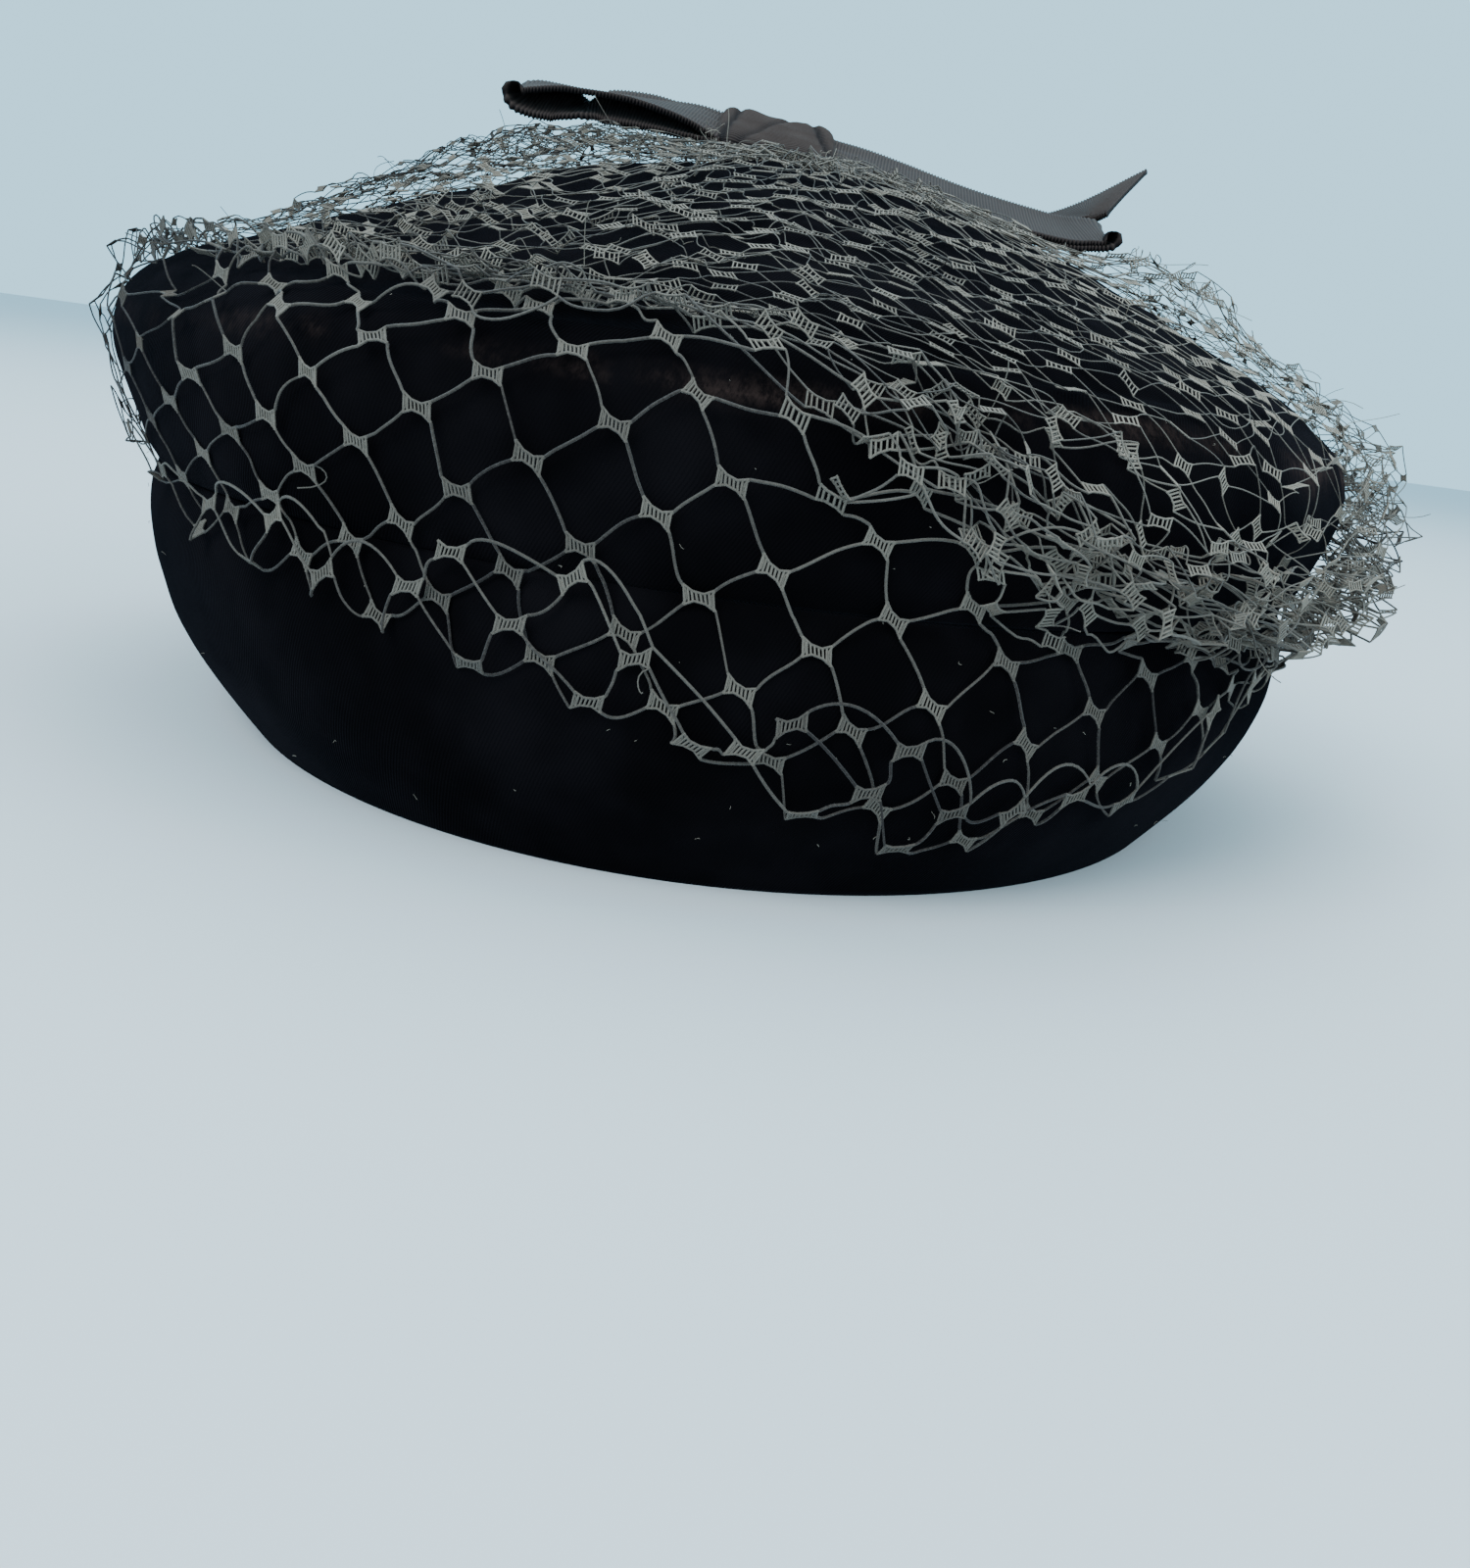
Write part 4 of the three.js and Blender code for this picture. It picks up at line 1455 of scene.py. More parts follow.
@dataclass
class NetLattice:
    """The flat net: slanting rows of ladder knots, joined by strands."""

    form: HatForm
    seed: int = 31
    columns: int = 57
    rows_round: int = 28
    start: tuple[float, float] = (-22.16, 141.8)
    right: tuple[float, float] = (9.75, -3.81)
    half_long: tuple[float, float] = (1.80, 0.76)
    half_short: tuple[float, float] = (-0.18, 1.20)
    jitter: float = 0.38

    def __post_init__(self) -> None:
        """Works out the second row vector, so that the net closes round the hat, and draws the unevenness."""
        below_x = (self.form.circumference - self.columns * self.right[0]) / self.rows_round
        below_y = -self.columns * self.right[1] / self.rows_round
        self.across = np.array(self.right)
        self.below = np.array([below_x, below_y])
        draw = np.random.default_rng(self.seed)
        self.shake = draw.normal(0, self.jitter, (self.columns, 160, 2))
        self.tilt = draw.normal(0, 1.0, (self.columns, 160))
        self.shade = draw.uniform(0, 1, (self.columns, 160))

    def cell_area(self) -> float:
        """The flat area that belongs to one knot, in square millimetres."""
        return float(self.across[0] * self.below[1] - self.across[1] * self.below[0])

    def look_up(self, table: np.ndarray, column: np.ndarray, row: np.ndarray) -> np.ndarray:
        """A knot's own numbers, the same when the net has gone once round the hat."""
        return table[self.cell(column, row)]

    def cell(self, column: np.ndarray, row: np.ndarray) -> tuple[np.ndarray, np.ndarray]:
        """Where a table has a knot's own numbers."""
        return column % self.columns, row - self.rows_round * (column // self.columns) + 80

    def centre(self, column: np.ndarray, row: np.ndarray) -> np.ndarray:
        """The middle of a knot on the flat net."""
        flat = np.array(self.start) + column[..., None] * self.across + row[..., None] * self.below
        return flat + self.look_up(self.shake, column, row)

    def reach(self, which: Corner) -> np.ndarray:
        """How far a corner of a knot is from its middle, on the flat net."""
        aside, below = which.value
        return np.array(self.half_long) * aside + np.array(self.half_short) * below


class VeilSide(Enum):
    """A quarter of the veil, by the angle of its middle."""

    FRONT = -90.0
    RIGHT = 0.0
    BACK = 90.0
    LEFT = 180.0

    def holds(self, angle: np.ndarray) -> np.ndarray:
        """Whether angles lie in this quarter."""
        turn = wrapped(angle - self.value)
        return (turn >= -45) & (turn < 45)


@dataclass
class NetLayer:
    """One layer that the gathered net makes on the hat."""

    name: str
    drape: VeilDrape
    lattice: NetLattice
    to_hem: bool
    quarters: tuple[VeilSide, ...] = tuple(VeilSide)
    gather: float = 9.0
    reach_below: float = 5.0
    unruly: float = 0.13
    unrulier: float = 0.45
    smaller: float = 0.15
    smaller_above: float = 0.28
    smaller_behind: float = 0.38
    longer: float = 0.24
    reach_above: float = 400.0
    closed: float = 0.16
    span: tuple[float, float] = (-180.0, 180.0)
    overshoot: float = 0.06
    bowing: float = 0.42
    most_bow: float = 2.6
    broken: float = 0.10
    most_stretch: float = 1.25
    rounds: int = 60
    give: float = 0.45

    def __post_init__(self) -> None:
        """Lays the knots on the hat, then draws together those further apart than their strands reach."""
        lattice = self.lattice
        column, row = np.meshgrid(np.arange(lattice.columns), np.arange(-80, 80), indexing="ij")
        self.poses = self.laid(column, row)
        flat = lattice.centre(column, row)
        angle, length, height = self.drape.settle(flat[..., 0], flat[..., 1])
        held = self.give * eased(length, self.gather, self.gather + 22)
        links = [self.links(column[:, 5:150], row[:, 5:150], to_right) for to_right in (True, False)]
        for _ in range(self.rounds):
            middle = self.drape.above_velvet(angle, length, height)
            pull = np.zeros_like(middle)
            for near, far, aside, natural in links:
                gap = middle[far] - middle[near] + aside
                size = np.linalg.norm(gap, axis=-1, keepdims=True)
                move = gap * 0.5 * np.maximum(1 - natural[..., None] / size, 0)
                np.add.at(pull, near, move)
                np.add.at(pull, far, -move)
            for place, step in ((angle, (0.3, 0.0)), (length, (0.0, 0.3))):
                way = self.drape.above_velvet(angle + step[0], length + step[1], height) - middle
                steepness = (way * way).sum(axis=-1) + 1e-12
                place += held * np.clip(0.3 * (pull * way).sum(axis=-1) / steepness, -1, 1)
        self.poses.middle = self.drape.above_velvet(angle, length, height)

    def links(
            self, column: np.ndarray, row: np.ndarray, to_right: bool,
    ) -> tuple[tuple[np.ndarray, ...], tuple[np.ndarray, ...], np.ndarray, np.ndarray]:
        """The strands that limit how far apart knots can lie.

        Args:
            column: the columns of all the knots.
            row: their rows.
            to_right: towards the neighbour to the right, or the one below.

        Returns:
            The cells of the near knots, those of the far ones, how much further apart the corners are than
            the middles, and how far the strands reach, in metres.
        """
        lattice = self.lattice
        first, last = self.corners(to_right)
        joined = self.kept(column, row) & self.kept(column + to_right, row + (not to_right))
        one, other = (column[joined], row[joined]), (column[joined] + to_right, row[joined] + (not to_right))
        starts = self.pose(*one).at(lattice.reach(first)) - self.pose(*one).middle
        ends = self.pose(*other).at(lattice.reach(last)) - self.pose(*other).middle
        flat = lattice.centre(*other) + lattice.reach(last) - lattice.centre(*one) - lattice.reach(first)
        return (lattice.cell(*one), lattice.cell(*other), ends - starts,
                np.linalg.norm(flat, axis=-1) * self.most_stretch * MM)

    def corners(self, to_right: bool) -> tuple[Corner, Corner]:
        """The corners that a strand to the neighbour to the right, or to the one below, joins."""
        if to_right:
            return Corner.UPPER_RIGHT, Corner.LOWER_LEFT
        return Corner.LOWER_RIGHT, Corner.UPPER_LEFT

    def kept(self, column: np.ndarray, row: np.ndarray) -> np.ndarray:
        """Whether the layer has a knot: below the gather and above its lower edge."""
        flat = self.lattice.centre(column, row)
        angle = self.drape.form.angle(flat[..., 0])
        length = self.drape.length(angle, flat[..., 1])
        if not self.to_hem:
            wander = 3.0 * self.drape.phase.at(angle, 0 * angle)
            middle = self.drape.row(self.drape.bunch, "length", angle) + wander
            inside = np.any([quarter.holds(angle) for quarter in self.quarters], axis=0)
            inside = inside & (angle > self.span[0]) & (angle < self.span[1])
            top = np.maximum(self.gather, middle - self.reach_above)
            return (length > top) & (length < middle + self.reach_below) & inside
        hem = self.drape.row(self.drape.hem, "length", angle)
        folded = self.drape.row(self.drape.hem, "folded_up", angle)
        cut = self.drape.anchor_down + self.drape.side_density * (hem + folded - self.drape.anchor_length)
        return (length > self.gather) & (flat[..., 1] < cut)

    def quarter(self, column: np.ndarray, row: np.ndarray, side: VeilSide) -> np.ndarray:
        """Whether knots belong to a quarter of the hat."""
        return side.holds(self.drape.form.angle(self.lattice.centre(column, row)[..., 0]))

    def pose(self, column: np.ndarray, row: np.ndarray) -> KnotPose:
        """How knots lie in space."""
        cell = self.lattice.cell(column, row)
        return KnotPose(self.poses.middle[cell], self.poses.across[cell], self.poses.down[cell])

    def laid(self, column: np.ndarray, row: np.ndarray) -> KnotPose:
        """How knots lie in space before any are drawn together.

        Args:
            column: the knots' columns.
            row: their rows.

        Returns:
            Their poses, each turned a little its own way.
        """
        flat = self.lattice.centre(column, row)
        angle = self.drape.form.angle(flat[..., 0])
        length = np.maximum(self.drape.length(angle, flat[..., 1]), 1.0)
        crumple = self.drape.fullness(angle, length)[0]
        above = self.drape.above_bunch(angle, length)
        turn = self.lattice.look_up(self.lattice.tilt, column, row) * (self.unruly + self.unrulier * crumple)
        behind = self.drape.behind(angle)
        size = 1 - self.smaller_above * above - self.smaller_behind * behind - self.smaller * crumple
        longer = 1 + self.longer * above
        return self.drape.pose(flat).turned(turn, size * longer, 1 / longer)

    def crumple(self, column: np.ndarray, row: np.ndarray) -> np.ndarray:
        """How crumpled the net is at knots."""
        flat = self.lattice.centre(column, row)
        angle = self.drape.form.angle(flat[..., 0])
        return self.drape.fullness(angle, np.maximum(self.drape.length(angle, flat[..., 1]), 1.0))[0]

    def tied(self, column: np.ndarray, row: np.ndarray, flat: np.ndarray, start: np.ndarray,
             end: np.ndarray) -> np.ndarray:
        """Lays thread on the hat between corners of knots, and bows it out where they are near each other.

        Args:
            column: the columns of the knots that the threads belong to.
            row: their rows.
            flat: the threads on the flat net.
            start: the corners in space that they start at.
            end: those that they end at.

        Returns:
            Threads by points by 3, in metres.
        """
        path = self.drape.place(flat[..., 0], flat[..., 1])
        share = np.linspace(0, 1, path.shape[1])[None, :, None]
        natural = np.linalg.norm(np.diff(flat, axis=1), axis=-1).sum(axis=1) * MM
        chord = np.linalg.norm(end - start, axis=-1)
        spare = np.sqrt(np.maximum(natural ** 2 - chord ** 2, 0))
        off = path - (1 - share) * path[:, :1] - share * path[:, -1:]
        most = np.linalg.norm(off, axis=-1).max(axis=1) + 1e-9
        off = off * np.minimum(1, (0.45 * spare + 0.35 * MM) / most)[:, None, None]
        path = (1 - share) * start[:, None] + share * end[:, None] + off
        loose = self.bowing * (0.12 + 0.88 * np.minimum(self.crumple(column, row), 1.0))
        bow = np.minimum(loose * spare, self.most_bow * MM)
        way = np.random.default_rng(self.lattice.seed + len(start)).normal(0, 1, start.shape)
        out = self.drape.away(start)
        way = way + out * (0.8 - 1.0 * np.minimum((way * out).sum(axis=-1, keepdims=True), 0))
        way = way / np.linalg.norm(way, axis=-1, keepdims=True)
        return path + 4 * share * (1 - share) * (bow[:, None] * way)[:, None]

    def strands(self, column: np.ndarray, row: np.ndarray, to_right: bool, count: int) -> np.ndarray:
        """The strands from knots to their neighbours.

        Args:
            column: the columns of the knots.
            row: their rows.
            to_right: towards the neighbour to the right, or the one below.
            count: points to a strand.

        Returns:
            Strands by points by 3, in metres.
        """
        lattice = self.lattice
        first, last = self.corners(to_right)
        beyond = column + to_right, row + (not to_right)
        start = lattice.centre(column, row) + lattice.reach(first)
        end = lattice.centre(*beyond) + lattice.reach(last)
        slack = np.random.default_rng(lattice.seed + to_right).normal(0, 0.3, (2, *start.shape))
        third = (end - start) / 3
        flat = bezier(start, start + third + slack[0], end - third + slack[1], end, count)
        return self.tied(column, row, flat, self.pose(column, row).at(lattice.reach(first)),
                         self.pose(*beyond).at(lattice.reach(last)))

    def loose_ends(self, column: np.ndarray, row: np.ndarray,
                   count: int) -> tuple[tuple[np.ndarray, np.ndarray], np.ndarray]:
        """Broken thread ends that stand off the net, most where it is crumpled.

        Args:
            column: the columns of the knots that they may start at.
            row: their rows.
            count: points to an end.

        Returns:
            The knots that have one, and the ends by points by 3, in metres.
        """
        draw = np.random.default_rng(self.lattice.seed + 7)
        chosen = draw.random(len(column)) < self.broken * (0.15 + self.crumple(column, row))
        knots = column[chosen], row[chosen]
        start = self.pose(*knots).at(self.lattice.reach(Corner.UPPER_RIGHT))
        out = self.drape.away(start)
        turns = [start]
        for reach in (1.8, 3.0, 2.6):
            turns.append(turns[-1] + (out * 0.45 + draw.normal(0, 0.6, out.shape)) * reach * MM)
        return knots, bezier(*turns, count)

    def edge_arcs(self, column: np.ndarray, row: np.ndarray, past_knot: bool, count: int) -> np.ndarray:
        """The loose arcs along the layer's lower edge.

        Args:
            column: the columns of missing knots.
            row: their rows.
            past_knot: whether the arc ends at the knot to the missing one's right, or at the one above that.
            count: points to an arc.

        Returns:
            Arcs by points by 3, in metres.
        """
        lattice = self.lattice
        above = column, row - 1
        other = (column + 1, row) if past_knot else (column + 1, row - 1)
        last = lattice.reach(Corner.LOWER_LEFT if past_knot else Corner.LOWER_RIGHT)
        start = lattice.centre(*above) + lattice.reach(Corner.LOWER_RIGHT)
        end = lattice.centre(*other) + last
        turn = lattice.centre(column, row)
        flat = bezier(start, start + (turn - start) * 0.6, end + (turn - end) * 0.6, end, count)
        return self.tied(*above, flat, self.pose(*above).at(lattice.reach(Corner.LOWER_RIGHT)),
                         self.pose(*other).at(last))

    def sides(self, column: np.ndarray, row: np.ndarray, count: int, hollow: float) -> dict[str, np.ndarray]:
        """The gently hollow sides of knots, which run into the strands.

        Args:
            column: the columns of the knots.
            row: their rows.
            count: points to a side.
            hollow: how hollow they are.

        Returns:
            The upper, lower, left and right sides, each knots by points by 3, in metres.
        """
        pose = self.pose(column, row)
        lattice = self.lattice
        right = lattice.across - 2 * np.array(lattice.half_long) + 2 * np.array(lattice.half_short)
        below = lattice.below - 2 * np.array(lattice.half_long) - 2 * np.array(lattice.half_short)
        right, below = right / np.linalg.norm(right), below / np.linalg.norm(below)
        plan = {
            "upper": (Corner.UPPER_LEFT, below, Corner.UPPER_RIGHT, right),
            "lower": (Corner.LOWER_LEFT, right, Corner.LOWER_RIGHT, below),
            "left": (Corner.UPPER_LEFT, below, Corner.LOWER_LEFT, -right),
            "right": (Corner.UPPER_RIGHT, -right, Corner.LOWER_RIGHT, below),
        }
        sides = {}
        for name, (first, leaving, last, arriving) in plan.items():
            start, end = lattice.reach(first), lattice.reach(last)
            reach = np.linalg.norm(end - start) * hollow
            places = start, start + leaving * reach, end - arriving * reach, end
            flat = bezier(*(place[None] for place in places), count)[0]
            sides[name] = np.stack([pose.at(place) for place in flat], axis=1)
        return sides

    def rungs(self, sides: dict[str, np.ndarray], count: int) -> np.ndarray:
        """The rungs of knots, from the upper side to the lower one.

        Args:
            sides: the knots' sides.
            count: how many rungs each has.

        Returns:
            Rungs by 2 points by 3, all the rungs of a knot together.
        """
        steps = np.linspace(0.06, 0.94, count) * (sides["upper"].shape[1] - 1)
        before = np.minimum(np.floor(steps).astype(int), sides["upper"].shape[1] - 2)
        share = (steps - before)[None, :, None]
        upper, lower = (sides[name][:, before] * (1 - share) + sides[name][:, before + 1] * share
                        for name in ("upper", "lower"))
        beyond = (lower - upper) * self.overshoot
        return np.stack([upper - beyond, lower + beyond], axis=2).reshape(-1, 2, 3)


@dataclass(frozen=True)
class KnotLook:
    """How knots are drawn: how hollow their sides are, their rungs and which sides have thread."""

    hollow: float
    rungs: int
    sides: tuple[str, ...]


@dataclass(frozen=True)
class NetTones:
    """How light the thread is, from 0 to 1: in all, by place on the hat, and by what it is part of."""

    base: float = 0.226
    tint: float = 0.06
    above: float = 0.09
    # The darkening of the thread round the sides and the back is painted shade, where the net is lit from
    # behind.
    behind: float = 0.24
    clump: float = 0.14
    clump_middle: float = -58.0
    clump_spread: float = 22.0
    right: float = 0.25
    right_middle: float = -22.0
    right_spread: float = 30.0
    knot_sides: float = 0.09
    rungs: float = 0.17
    loose_ends: float = 0.1
    strands: float = -0.09
    arcs: float = -0.06
    unevenness: float = 0.2


@dataclass
class Veil:
    """The net veil, gathered at the peak and draped over the crown."""

    form: HatForm
    tones: NetTones = NetTones()
    strand: float = 0.190
    side: float = 0.165
    rung: float = 0.165
    thin: float = 0.45
    knots_thin: float = 0.45
    loose_thin: float = 0.45
    open_look: KnotLook = KnotLook(0.38, 8, ("upper", "lower", "left", "right"))
    coiled_look: KnotLook = KnotLook(0.24, 6, ("upper", "lower"))
    nominal_share: float = 0.31
    front_closed: float = 0.28

    def __post_init__(self) -> None:
        """Makes the layers and the finish."""
        self.layers = [
            NetLayer("veil", VeilDrape(self.form), NetLattice(self.form), True),
            NetLayer("veil_fold", VeilDrape(self.form, seed=60, lift=0.8),
                     NetLattice(self.form, seed=71, start=(-17.0, 144.5)), False,
                     (VeilSide.LEFT, VeilSide.FRONT, VeilSide.RIGHT)),
            NetLayer("veil_gather", VeilDrape(self.form, seed=140, lift=1.5),
                     NetLattice(self.form, seed=151, start=(-20.0, 140.0)), False,
                     (VeilSide.LEFT, VeilSide.FRONT), gather=16.0, reach_below=-14.0),
            NetLayer("veil_ruck", VeilDrape(self.form, seed=200, lift=1.2, fold=13.0, side_fold=16.0),
                     NetLattice(self.form, seed=211, columns=81, rows_round=40, start=(-20.0, 141.0),
                                right=(6.83, -2.67), half_long=(1.6, 0.68), half_short=(-0.17, 1.1)), False,
                     (VeilSide.FRONT, VeilSide.RIGHT), reach_below=6.5, reach_above=6.5, span=(-86.0, 24.0),
                     closed=0.42),
        ]
        self.material = NetFinish().material()
        self.tint = Drift(41, 6, 2.0)

    def weight(self, layer: NetLayer, flat: np.ndarray) -> tuple[np.ndarray, np.ndarray, np.ndarray]:
        """How thick and how light the thread is at places of the flat net.

        Args:
            layer: the layer.
            flat: the places.

        Returns:
            A share of the thread's thickness, the tone, and how much lighter than it the knots are.
        """
        angle = self.form.angle(flat[..., 0])
        length = layer.drape.length(angle, flat[..., 1])
        above = layer.drape.above_bunch(angle, length)
        behind = layer.drape.behind(angle)
        thick = 1 - (1 - self.thin) * np.maximum(above, 0.7 * behind)
        tones = self.tones
        clump = bell(wrapped(angle - tones.clump_middle) / tones.clump_spread)
        clump = clump * layer.drape.bunched(angle, length)
        tone = tones.base + tones.tint * self.tint.at(angle, flat[..., 1]) + tones.above * above
        # Painted shade: the thread is darker round the sides and the back, where the net is lit from behind.
        tone = tone - tones.behind * behind + tones.clump * clump
        tone = tone + tones.right * above * bell(wrapped(angle - tones.right_middle) / tones.right_spread)
        # The knots are lightened less round the sides and the back, which is painted shade there as well.
        return thick, tone, 1 + 1.7 * above * (1 - behind) - 0.5 * behind

    def add(self, threads: Threads, layer: NetLayer, knots: tuple[np.ndarray, np.ndarray], paths: np.ndarray,
            radius: float, lighter: float) -> None:
        """Adds paths to a piece's thread.

        Args:
            threads: the piece's thread.
            layer: the layer.
            knots: the columns and rows of the knots that the paths belong to.
            paths: paths by points by 3, in metres, as many for each knot as for any other.
            radius: the thread's radius where it is thickest, in millimetres.
            lighter: how much lighter than the rest it is.
        """
        lattice = layer.lattice
        thick, tone, contrast = self.weight(layer, lattice.centre(*knots))
        if radius < self.strand:
            thick = thick ** self.knots_thin
        if lighter > 0:
            lighter = lighter * contrast
        uneven = self.tones.unevenness * (lattice.look_up(lattice.shade, *knots) - 0.5)
        tone = np.clip(tone + lighter + uneven, 0, 1)
        copies = len(paths) // max(len(thick), 1)
        thick, tone = np.repeat(thick, copies), np.repeat(tone, copies)
        threads.add(paths, radius * thick, tone)

    def threads(self, layer: NetLayer, side: VeilSide) -> tuple[Threads, int]:
        """All the thread of a quarter of a layer.

        Args:
            layer: the layer.
            side: the quarter.

        Returns:
            The thread, and the number of its knots.
        """
        lattice = layer.lattice
        columns, rows = np.meshgrid(np.arange(lattice.columns), np.arange(-75, 70), indexing="ij")
        here = layer.quarter(columns, rows, side)
        there = layer.kept(columns, rows)
        threads = Threads(f"{layer.name}_{side.name.lower()}")
        column, row = columns[there & here], rows[there & here]
        flat = lattice.centre(column, row)
        angle = self.form.angle(flat[:, 0])
        above = layer.drape.above_bunch(angle, layer.drape.length(angle, flat[:, 1]))
        crumpled = layer.crumple(column, row) > 0.35
        coiled = (above > 0.5) | (layer.drape.behind(angle) > 0.3) | crumpled | (not layer.to_hem)
        for chosen, look in ((~coiled, self.open_look), (coiled, self.coiled_look)):
            some = column[chosen], row[chosen]
            sides = layer.sides(*some, 4 if side is VeilSide.FRONT else 3, look.hollow)
            for edge in look.sides:
                self.add(threads, layer, some, sides[edge], self.side, self.tones.knot_sides)
            self.add(threads, layer, some, layer.rungs(sides, look.rungs), self.rung, self.tones.rungs)
        self.add(threads, layer, *layer.loose_ends(column, row, 8), self.strand * self.loose_thin,
                 self.tones.loose_ends)
        points = 10 if side is VeilSide.FRONT else 8 if side is VeilSide.RIGHT else 6
        for to_right in (True, False):
            joined = layer.kept(column + to_right, row + (not to_right))
            ends = column[joined], row[joined]
            self.add(threads, layer, ends, layer.strands(*ends, to_right, points), self.strand,
                     self.tones.strands)
        edge = here & ~there & layer.kept(columns, rows - 1)
        for past_knot in (True, False):
            beyond = layer.kept(columns + 1, rows) == past_knot
            open_edge = edge & beyond & layer.kept(columns + 1, rows - 1)
            missing = columns[open_edge], rows[open_edge]
            self.add(threads, layer, missing, layer.edge_arcs(*missing, past_knot, 12), self.strand,
                     self.tones.arcs)
        return threads, len(column)

    def build(self) -> list[bpy.types.Object]:
        """Makes each quarter of each layer as one piece and logs the size that its net was cut to, open. It
        also works out a width drawn closed to a share and a length grown by sqrt(2 - share²), and their area
        times nominal_share, which nothing uses. An open net has less thread than the least area that a sheet
        may have, so its meshes count as drawn closed to a share of their width, and the net grows longer by
        sqrt(2 - share²). The shares and nominal_share are set so that this area agrees with the thread that
        is built. They aren't the net's own measures.

        Returns:
            Its pieces.
        """
        pieces = []
        for layer in self.layers:
            for side in layer.quarters:
                threads, knots = self.threads(layer, side)
                piece = threads.sweep(4 if side is VeilSide.FRONT and layer.to_hem else 3, self.material)
                width = self.form.circumference * MM / 4
                length = knots * layer.lattice.cell_area() * MM * MM / width
                LOG.info("%s: %d knots, cut %.0f by %.0f mm, open",
                         piece.name, knots, width / MM, length / MM)
                closed = self.front_closed if side is VeilSide.FRONT and layer.to_hem else layer.closed
                width, length = width * closed, length * math.sqrt(2 - closed ** 2)
                self.nominal_share * width * length
                finish_piece(piece, ["veil"])
                pieces.append(piece)
        return pieces


# ----------------------------------------------------------------------------------------------------------
# The bow
# ----------------------------------------------------------------------------------------------------------


@dataclass(frozen=True)
class RibbonPoint:
    """A point down the middle of a ribbon, from the middle of the knot, and how far its front hangs."""

    x: float
    y: float
    z: float
    tilt: float


